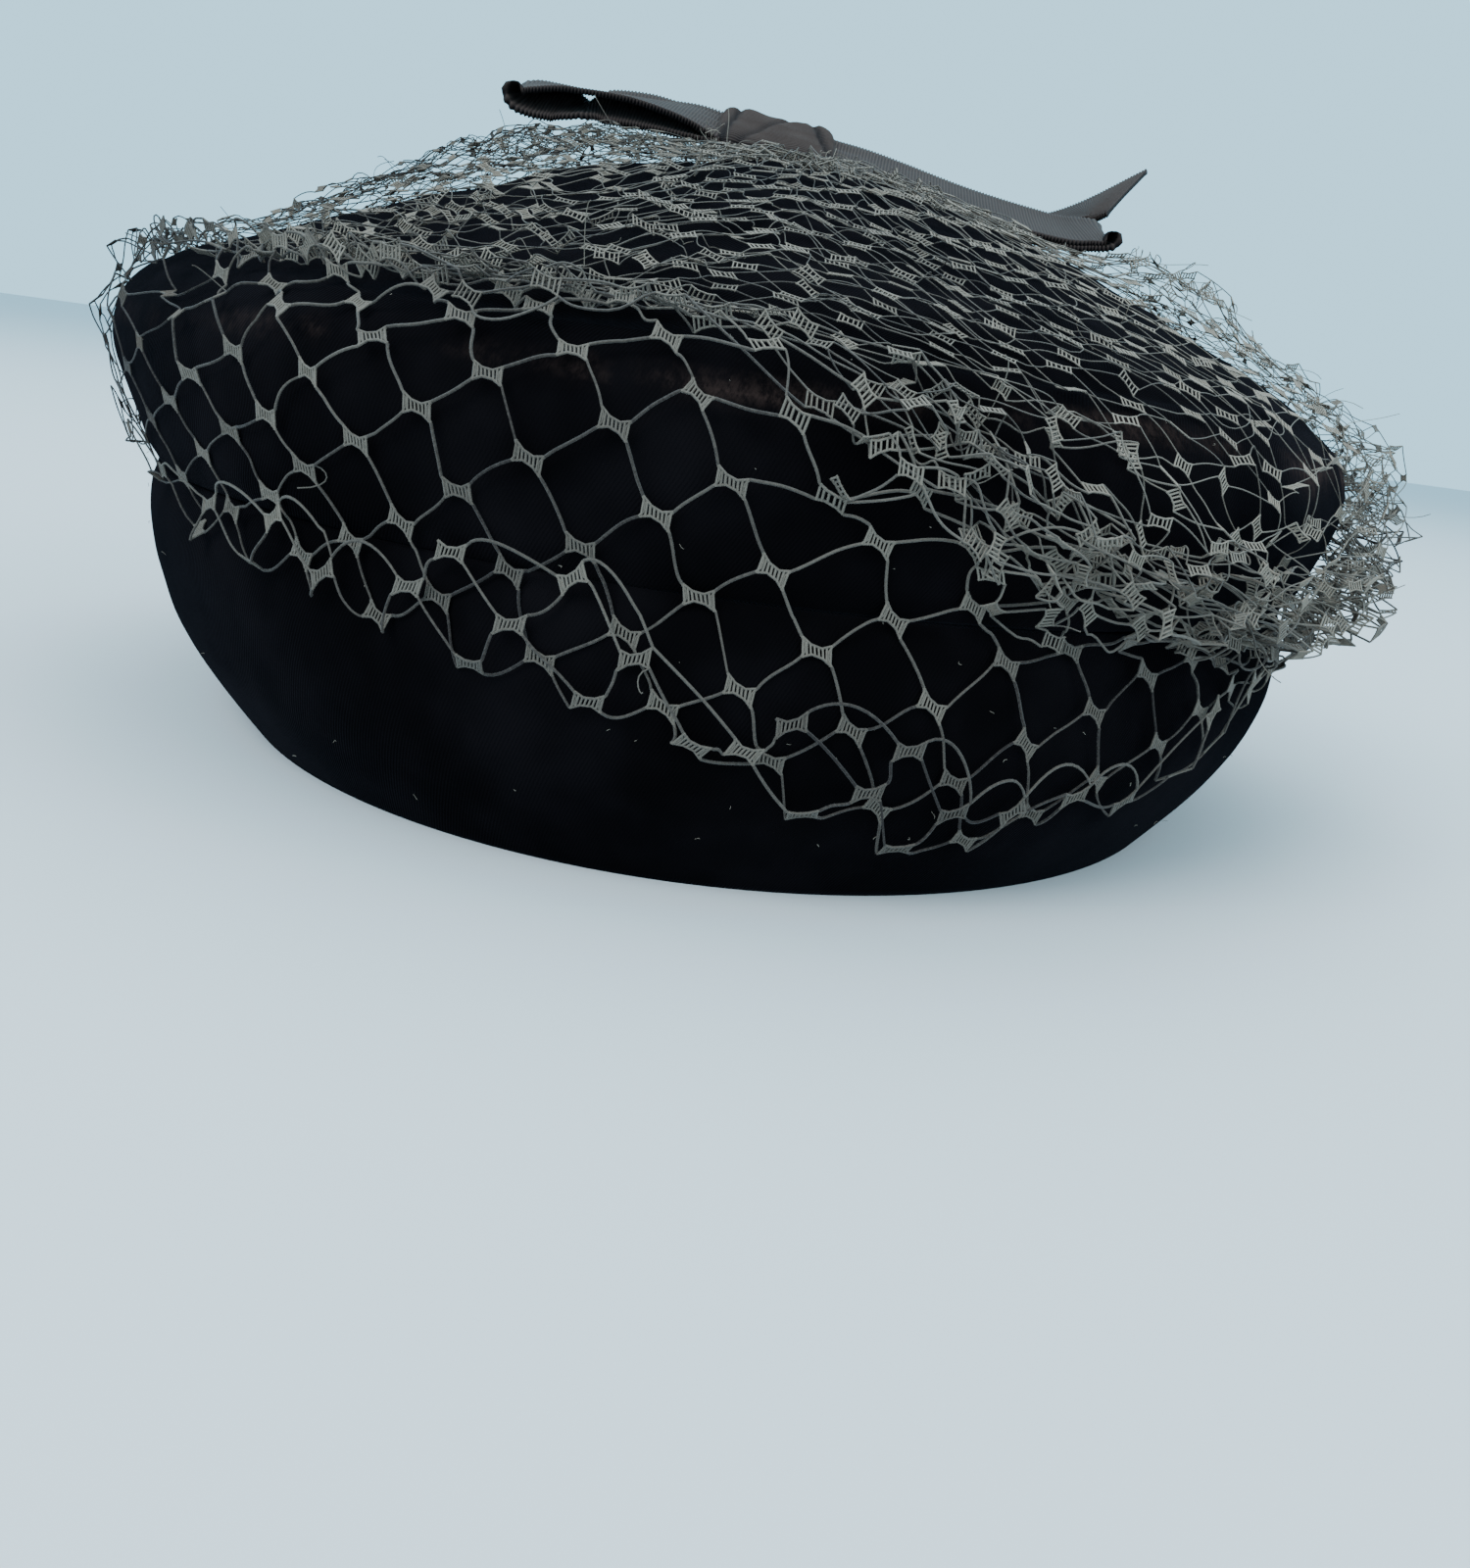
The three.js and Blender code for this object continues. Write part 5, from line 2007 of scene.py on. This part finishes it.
@dataclass
class Ribbon:
    """A strip of grosgrain along a path, with its cross ribs and scalloped edges."""

    name: str
    node: str
    path: tuple[RibbonPoint, ...]
    held: str = "folded"
    width: float = 20.0
    slant: float = 0.0
    thickness: float = 0.75
    rib: float = 0.65
    rib_height: float = 0.17
    scallop: float = 0.28
    selvedge: float = 0.45
    steps_per_rib: int = 4
    across: int = 12

    def line(self) -> tuple[np.ndarray, np.ndarray, np.ndarray]:
        """The middle line at even steps, with its tilt.

        Returns:
            The points, the tilts in radians and the lengths along it.
        """
        knots = np.array([[point.x, point.y, point.z] for point in self.path])
        tilts = np.array([point.tilt for point in self.path])
        places = np.linspace(0, len(knots) - 1, 400)
        points = through(knots, places)
        lengths = np.concatenate([[0], np.cumsum(np.linalg.norm(np.diff(points, axis=0), axis=1))])
        count = int(lengths[-1] / self.rib * self.steps_per_rib)
        even = np.linspace(0, lengths[-1], count)
        line = np.stack([np.interp(even, lengths, points[:, axis]) for axis in range(3)], axis=-1)
        tilt = np.radians(np.interp(np.interp(even, lengths, places), np.arange(len(tilts)), tilts))
        return smoothed(line, 3), tilt, even

    def mesh(self, middle: np.ndarray) -> bpy.types.Mesh:
        """The ribbon's mesh.

        Args:
            middle: where the knot's middle is, in metres.

        Returns:
            A closed mesh.
        """
        line, tilt, lengths = self.line()
        along = np.gradient(line, axis=0)
        along /= np.linalg.norm(along, axis=1, keepdims=True)
        flat = np.stack([np.zeros_like(tilt), np.cos(tilt), np.sin(tilt)], axis=-1)
        side = flat - along * (flat * along).sum(1, keepdims=True)
        side /= np.linalg.norm(side, axis=1, keepdims=True)
        up = np.cross(along, side)
        turn = 2 * math.pi * lengths / self.rib
        rib = 0.5 + 0.5 * np.cos(turn)
        around = self.section()
        gathered = self.gathered(lengths)
        half = self.width / 2 * (1 - 0.10 * gathered)
        aside = around[None, :, 0] * half[:, None]
        edge = np.abs(around[None, :, 0]) ** 8
        aside = aside + np.sign(around[None, :, 0]) * edge * self.scallop * (rib[:, None] - 0.5) * 2
        lift = around[None, :, 1] * (self.thickness / 2 * (1 + self.selvedge * edge)
                                     + self.rib_height * (rib[:, None] - 0.5))
        pleat = 0.45 * gathered[:, None] * np.cos(aside * 1.15 + 0.6)
        sag = 0.25 * np.sin(lengths / 9.0)[:, None] * np.cos(around[None, :, 0] * 1.2)
        across = around[None, :, 0]
        wave = 0.35 * np.sin(lengths[:, None] / 7.0 + across * 1.5) * np.abs(across) ** 2
        lift = lift + pleat + sag * 0.6 + wave * 0.6
        cut = np.zeros_like(aside)
        if self.slant:
            last = eased(lengths, lengths[-1] - 24, lengths[-1])[:, None]
            cut = last * self.slant * (around[None, :, 0] - 1) / 2
        points = (line[:, None, :] + side[:, None, :] * aside[..., None] + up[:, None, :] * lift[..., None]
                  + along[:, None, :] * cut[..., None])
        columns = around.shape[0]
        flat_map = np.stack(np.broadcast_arrays(np.linspace(0, 2 * self.width, columns + 1)[None, :] * MM,
                                                lengths[:, None] * MM), axis=-1)
        # Painted shade in the hollows between the ribs.
        valley = np.broadcast_to(1 - rib[:, None], aside.shape)
        # Painted light: 1 on the side of the ribbon that faces up, 0 on the side that faces down.
        face = np.clip(0.5 + 0.6 * up[:, None, 2] * around[None, :, 1], 0, 1)
        mesh = grid_mesh(self.name, points * MM + middle, True, flat_map, {"valley": valley, "face": face})
        return mesh

    def section(self) -> np.ndarray:
        """The ribbon's cross section, from its upper left round to its lower left.

        Returns:
            Places across, from -1 to 1, and the face, 1 above and -1 below.
        """
        crowded = np.sin(np.linspace(-math.pi / 2, math.pi / 2, self.across))
        across = crowded * 0.4 + np.linspace(-1, 1, self.across) * 0.6
        upper = np.stack([across, np.ones(self.across)], axis=-1)
        lower = np.stack([across[::-1], -np.ones(self.across)], axis=-1)
        ends = [np.array([[1.012, 0.0]]), np.array([[-1.012, 0.0]])]
        return np.concatenate([upper, ends[0], lower, ends[1]])

    def gathered(self, lengths: np.ndarray) -> np.ndarray:
        """How much the ribbon is drawn together along its length: most where it enters the knot."""
        start = bell(lengths / 7)
        if self.slant:
            return start
        return start + bell((lengths - lengths[-1]) / 7)

    def build(self, middle: np.ndarray, material: bpy.types.Material) -> bpy.types.Object:
        """Args:
            middle: where the knot's middle is, in metres.
            material: its finish.

        Returns:
            The object.
        """
        piece = close_poles(new_object(self.name, self.mesh(middle)))
        piece.data.materials.append(material)
        finish_piece(piece, [self.node])
        return piece


def through(points: np.ndarray, places: np.ndarray) -> np.ndarray:
    """A smooth line through points.

    Args:
        points: the points.
        places: where along it, counted in points.

    Returns:
        Points on the line.
    """
    before = np.clip(np.floor(places).astype(int), 0, len(points) - 2)
    share = (places - before)[:, None]
    padded = np.concatenate([2 * points[:1] - points[1:2], points, 2 * points[-1:] - points[-2:-1]])
    one, two, three, four = (padded[before + step] for step in range(4))
    return 0.5 * (2 * two + (three - one) * share + (2 * one - 5 * two + 4 * three - four) * share ** 2
                  + (3 * two - one - 3 * three + four) * share ** 3)


def smoothed(points: np.ndarray, times: int) -> np.ndarray:
    """A line with its small corners rounded, its ends kept."""
    for _ in range(times):
        points = np.concatenate([points[:1], (points[:-2] + 2 * points[1:-1] + points[2:]) / 4, points[-1:]])
    return points


@dataclass
class Knot:
    """The ribbon wrapped round the middle of the bow."""

    name: str = "bow_wrap"
    node: str = "bow_knot"
    half_length: float = 11.6
    half_width: float = 10.6
    half_height: float = 3.0
    lower: float = 0.5
    slope: float = -5.0
    tilt: float = 25.0
    rib: float = 0.65
    rib_height: float = 0.20

    def mesh(self, middle: np.ndarray) -> bpy.types.Mesh:
        """The wrap's mesh.

        Args:
            middle: where its middle is, in metres.

        Returns:
            A closed mesh.
        """
        girth = 4 * (self.half_width + self.half_height) * 0.94
        around = int(girth / self.rib * 5)
        turn = np.linspace(0, 2 * math.pi, around, endpoint=False)
        power = 0.42
        y = self.half_width * np.sign(np.cos(turn)) * np.abs(np.cos(turn)) ** power
        z = self.half_height * np.sign(np.sin(turn)) * np.abs(np.sin(turn)) ** power
        ring = np.stack([y, z], axis=-1)
        closed = np.vstack([ring, ring[:1]])
        lengths = np.concatenate([[0], np.cumsum(np.linalg.norm(np.diff(closed, axis=0), axis=1))])
        even = np.linspace(0, lengths[-1], around, endpoint=False)
        ring = np.stack([np.interp(even, lengths, closed[:, axis]) for axis in range(2)], axis=-1)
        out = np.stack([np.gradient(ring[:, 1]), -np.gradient(ring[:, 0])], axis=-1)
        out /= np.maximum(np.linalg.norm(out, axis=1, keepdims=True), 1e-9)
        rib = 0.5 + 0.5 * np.cos(2 * math.pi * np.round(lengths[-1] / self.rib) * even / lengths[-1])
        along = np.concatenate([[-1.0, -0.99, -0.97], np.linspace(-0.93, 0.93, 30), [0.97, 0.99, 1.0]])
        full = np.sqrt(np.clip(1 - np.abs(along) ** 14, 0, 1)) * 0.97
        waist = 1 - 0.05 * bell(along / 0.4)
        folds = (0.16 * np.cos(along[:, None] * 5.5 + ring[None, :, 0] * 0.35)
                 + 0.10 * np.cos(along[:, None] * 11 - ring[None, :, 0] * 0.22 + 1.0))
        creases = (bell((along[:, None] + 0.78 - ring[None, :, 0] * 0.012) / 0.06)
                   + bell((along[:, None] - 0.74 + ring[None, :, 0] * 0.018) / 0.06)
                   + 0.6 * bell((along[:, None] + 0.2 - ring[None, :, 0] * 0.04) / 0.07))
        grow = (self.rib_height * (rib[None, :] - 0.5) + folds - 0.7 * creases) * full[:, None]
        y = ring[None, :, 0] * (waist * (0.2 + 0.8 * full))[:, None] + out[None, :, 0] * grow
        z = ring[None, :, 1] * (0.15 + 0.85 * full)[:, None] + out[None, :, 1] * grow
        x = np.broadcast_to((along * self.half_length)[:, None], y.shape)
        points = np.stack([x, y, z], axis=-1)
        turning = np.array(Matrix.Rotation(math.radians(self.tilt), 3, "X")
                           @ Matrix.Rotation(math.radians(-self.slope), 3, "Y"))
        points = points @ turning.T - np.array([0.0, 0.0, self.lower])
        # Painted shade in the hollows between the ribs and in the creases of the wrap.
        valley = np.clip(1 - rib[None, :] + creases, 0, 2)
        # Painted light: lighter on the upper side of the wrap, darker under it.
        face = np.clip(0.5 + ring[None, :, 1] / self.half_height * 0.6, 0, 1) * np.ones_like(y)
        mesh = grid_mesh(self.name, points * MM + middle, True, None, {"valley": valley, "face": face})
        mesh.flip_normals()
        return mesh

    def build(self, middle: np.ndarray, material: bpy.types.Material) -> bpy.types.Object:
        """Args:
            middle: where its middle is, in metres.
            material: its finish.

        Returns:
            The object.
        """
        piece = close_poles(new_object(self.name, self.mesh(middle)))
        piece.data.materials.append(material)
        finish_piece(piece, [self.node])
        return piece


@dataclass
class Bow:
    """The flat bow on the peak: two loops, a slanting tail and the wrap round its middle."""

    form: HatForm
    middle: tuple[float, float, float] = (-1.2, 26, 107.2)
    left_loop: tuple[RibbonPoint, ...] = (
        RibbonPoint(-8.2, 0, -0.4, 22), RibbonPoint(-17, 0, 1.2, 23), RibbonPoint(-25, 0, 2.2, 24),
        RibbonPoint(-33, 0, 2.1, 23), RibbonPoint(-37.5, 0, 1.0, 15), RibbonPoint(-42, 0, 1.4, 25),
        RibbonPoint(-46, 0, 1.5, 25), RibbonPoint(-48.7, 0, 1.9, 24), RibbonPoint(-49.9, 0, 2.8, 20),
        RibbonPoint(-48.7, 0, 3.6, 14), RibbonPoint(-46, 0, 4.0, 12), RibbonPoint(-40, 0, 4.2, 9),
        RibbonPoint(-28, 0, 3.9, 11), RibbonPoint(-17, 0, 2.9, 17), RibbonPoint(-8.2, 0, 0.6, 22))
    right_loop: tuple[RibbonPoint, ...] = (
        RibbonPoint(7.8, 0, -1.6, 22), RibbonPoint(15, 0, -3.2, 23), RibbonPoint(27, 0, -5.4, 23),
        RibbonPoint(44, 0, -8.1, 21), RibbonPoint(57, 0, -9.5, 18), RibbonPoint(62.5, 0, -9.4, 17),
        RibbonPoint(65.3, 0, -9.1, 17), RibbonPoint(66.3, 0, -8.6, 17), RibbonPoint(65.3, 0, -8.1, 17),
        RibbonPoint(62.5, 0, -8.2, 17), RibbonPoint(57, 0, -8.4, 18), RibbonPoint(44, 0, -6.8, 21),
        RibbonPoint(27, 0, -3.9, 23), RibbonPoint(15, 0, -1.6, 23), RibbonPoint(7.8, 0, -0.3, 22))
    sewn: tuple[tuple[float, float, int], ...] = ((-11.0, -3.4, 14), (10.5, -5.4, 16), (2.0, -5.6, 8))
    tail: tuple[RibbonPoint, ...] = (
        RibbonPoint(7.4, 4.5, -0.9, 18), RibbonPoint(15, 6.4, -2.6, 18), RibbonPoint(28, 11.5, -4.7, 13),
        RibbonPoint(46, 17.5, -6.7, 8), RibbonPoint(61, 18.5, -4.2, 14), RibbonPoint(81, 21, 6.6, 22))

    def build(self) -> list[bpy.types.Object]:
        """Returns:
            Its pieces.
        """
        material = RibbonFinish().material()
        middle = self.form.placed(np.array(self.middle))
        ribbons = [
            Ribbon("bow_loop_left", "bow_left_loop", self.left_loop),
            Ribbon("bow_loop_right", "bow_right_loop", self.right_loop),
            Ribbon("bow_tail_end", "bow_tail", self.tail, held="laid", width=15, slant=16),
        ]
        pieces = [ribbon.build(middle, material) for ribbon in ribbons]
        pieces.append(Knot().build(middle, material))
        pieces.append(self.ties(middle))
        return pieces

    def ties(self, middle: np.ndarray) -> bpy.types.Object:
        """The pale thread ends where the bow is sewn through the net.

        Args:
            middle: where the knot's middle is, in metres.

        Returns:
            The object.
        """
        draw = np.random.default_rng(77)
        threads = Threads("bow_ties")
        for along, height, number in self.sewn:
            start = np.array([along, -9.2, height]) + draw.normal(0, 1, (number, 3)) * (1.2, 0.5, 0.8)
            turns = [start]
            for reach in (0.9, 1.3, 1.1):
                turns.append(turns[-1] + draw.normal(0, 1, start.shape) * reach + np.array([0.0, -0.5, 0.1]))
            threads.add(bezier(*turns, 8) * MM + middle, 0.07, 0.95)
        piece = threads.sweep(3, NetFinish().material())
        finish_piece(piece)
        return piece


# ----------------------------------------------------------------------------------------------------------
# The studio
# ----------------------------------------------------------------------------------------------------------


@dataclass(frozen=True)
class SoftLight:
    """A square soft light."""

    name: str
    place: tuple[float, float, float]
    size: float
    watts: float
    colour: tuple[float, float, float]


@dataclass
class Studio:
    """The camera, the pale floor and the soft lights."""

    form: HatForm
    camera_place: tuple[float, float, float] = (0.225, -267.069, 62.861)
    yaw: float = 1.455
    pitch: float = 16.241
    roll: float = 7.711
    lens: float = 31.81
    floor_size: float = 12.0
    lights: tuple[SoftLight, ...] = (
        SoftLight("window", (-0.9, -1.1, 1.3), 1.1, 34, (0.93, 0.97, 1.0)),
        SoftLight("fill", (1.2, -0.8, 0.8), 1.2, 12, (1.0, 0.98, 0.96)),
        SoftLight("ceiling", (0.1, 0.5, 1.7), 1.4, 20, (0.95, 0.98, 1.0)))

    def camera(self) -> bpy.types.Object:
        """The camera.

        Returns:
            The camera's object.
        """
        yaw, pitch, roll = (math.radians(turn) for turn in (self.yaw, self.pitch, self.roll))
        ahead = Vector((math.sin(yaw) * math.cos(pitch), math.cos(yaw) * math.cos(pitch), -math.sin(pitch)))
        level = Vector((math.cos(yaw), -math.sin(yaw), 0))
        upward = level.cross(ahead)
        right = math.cos(roll) * level + math.sin(roll) * upward
        upward = -math.sin(roll) * level + math.cos(roll) * upward
        data = bpy.data.cameras.new("camera")
        data.lens = self.lens
        data.sensor_width = 36
        data.sensor_fit = "AUTO"
        data.clip_start = 0.01
        camera = bpy.data.objects.new("camera", data)
        bpy.context.scene.collection.objects.link(camera)
        turned = Matrix((right, upward, -ahead)).transposed().to_4x4()
        camera.matrix_world = Matrix.Translation(self.form.placed(np.array(self.camera_place))) @ turned
        bpy.context.scene.camera = camera
        return camera

    def floor(self) -> None:
        """A large pale floor."""
        half = self.floor_size / 2
        mesh = bpy.data.meshes.new("floor")
        corners = [(-half, -half, 0), (half, -half, 0), (half, half, 0), (-half, half, 0)]
        mesh.from_pydata(corners, [], [(0, 1, 2, 3)])
        floor = new_object("floor", mesh)
        paint = Cloth("floor", Roughness=0.9, Specular_IOR_Level=0.2)
        paint.shader.inputs["Base Color"].default_value = (0.60, 0.63, 0.65, 1)
        mesh.materials.append(paint.material)

    def light(self) -> None:
        """The soft lights and the pale surroundings."""
        for light in self.lights:
            data = bpy.data.lights.new(light.name, "AREA")
            data.size = light.size
            data.energy = light.watts
            data.color = light.colour
            lamp = bpy.data.objects.new(light.name, data)
            bpy.context.scene.collection.objects.link(lamp)
            lamp.location = light.place
            towards = Vector((0, 0, 0.05)) - Vector(light.place)
            lamp.rotation_euler = towards.to_track_quat("-Z", "Y").to_euler()
        world = bpy.data.worlds.new("surroundings")
        bpy.context.scene.world = world
        world.use_nodes = True
        background = world.node_tree.nodes["Background"]
        background.inputs["Color"].default_value = (0.44, 0.80, 1.0, 1)
        background.inputs["Strength"].default_value = 1.6

    def build(self) -> None:
        """Builds the studio."""
        self.camera()
        self.floor()
        self.light()


def main() -> None:
    """Builds the studio and the hat, and notes how large the hat has come out."""
    logging.basicConfig(level=logging.INFO, format="%(name)s: %(message)s")
    form = HatForm()
    Studio(form).build()
    pieces = VelvetShell(form).build() + Veil(form).build() + Bow(form).build()
    LOG.info("%d pieces", len(pieces))


if __name__ == "__main__":
    main()
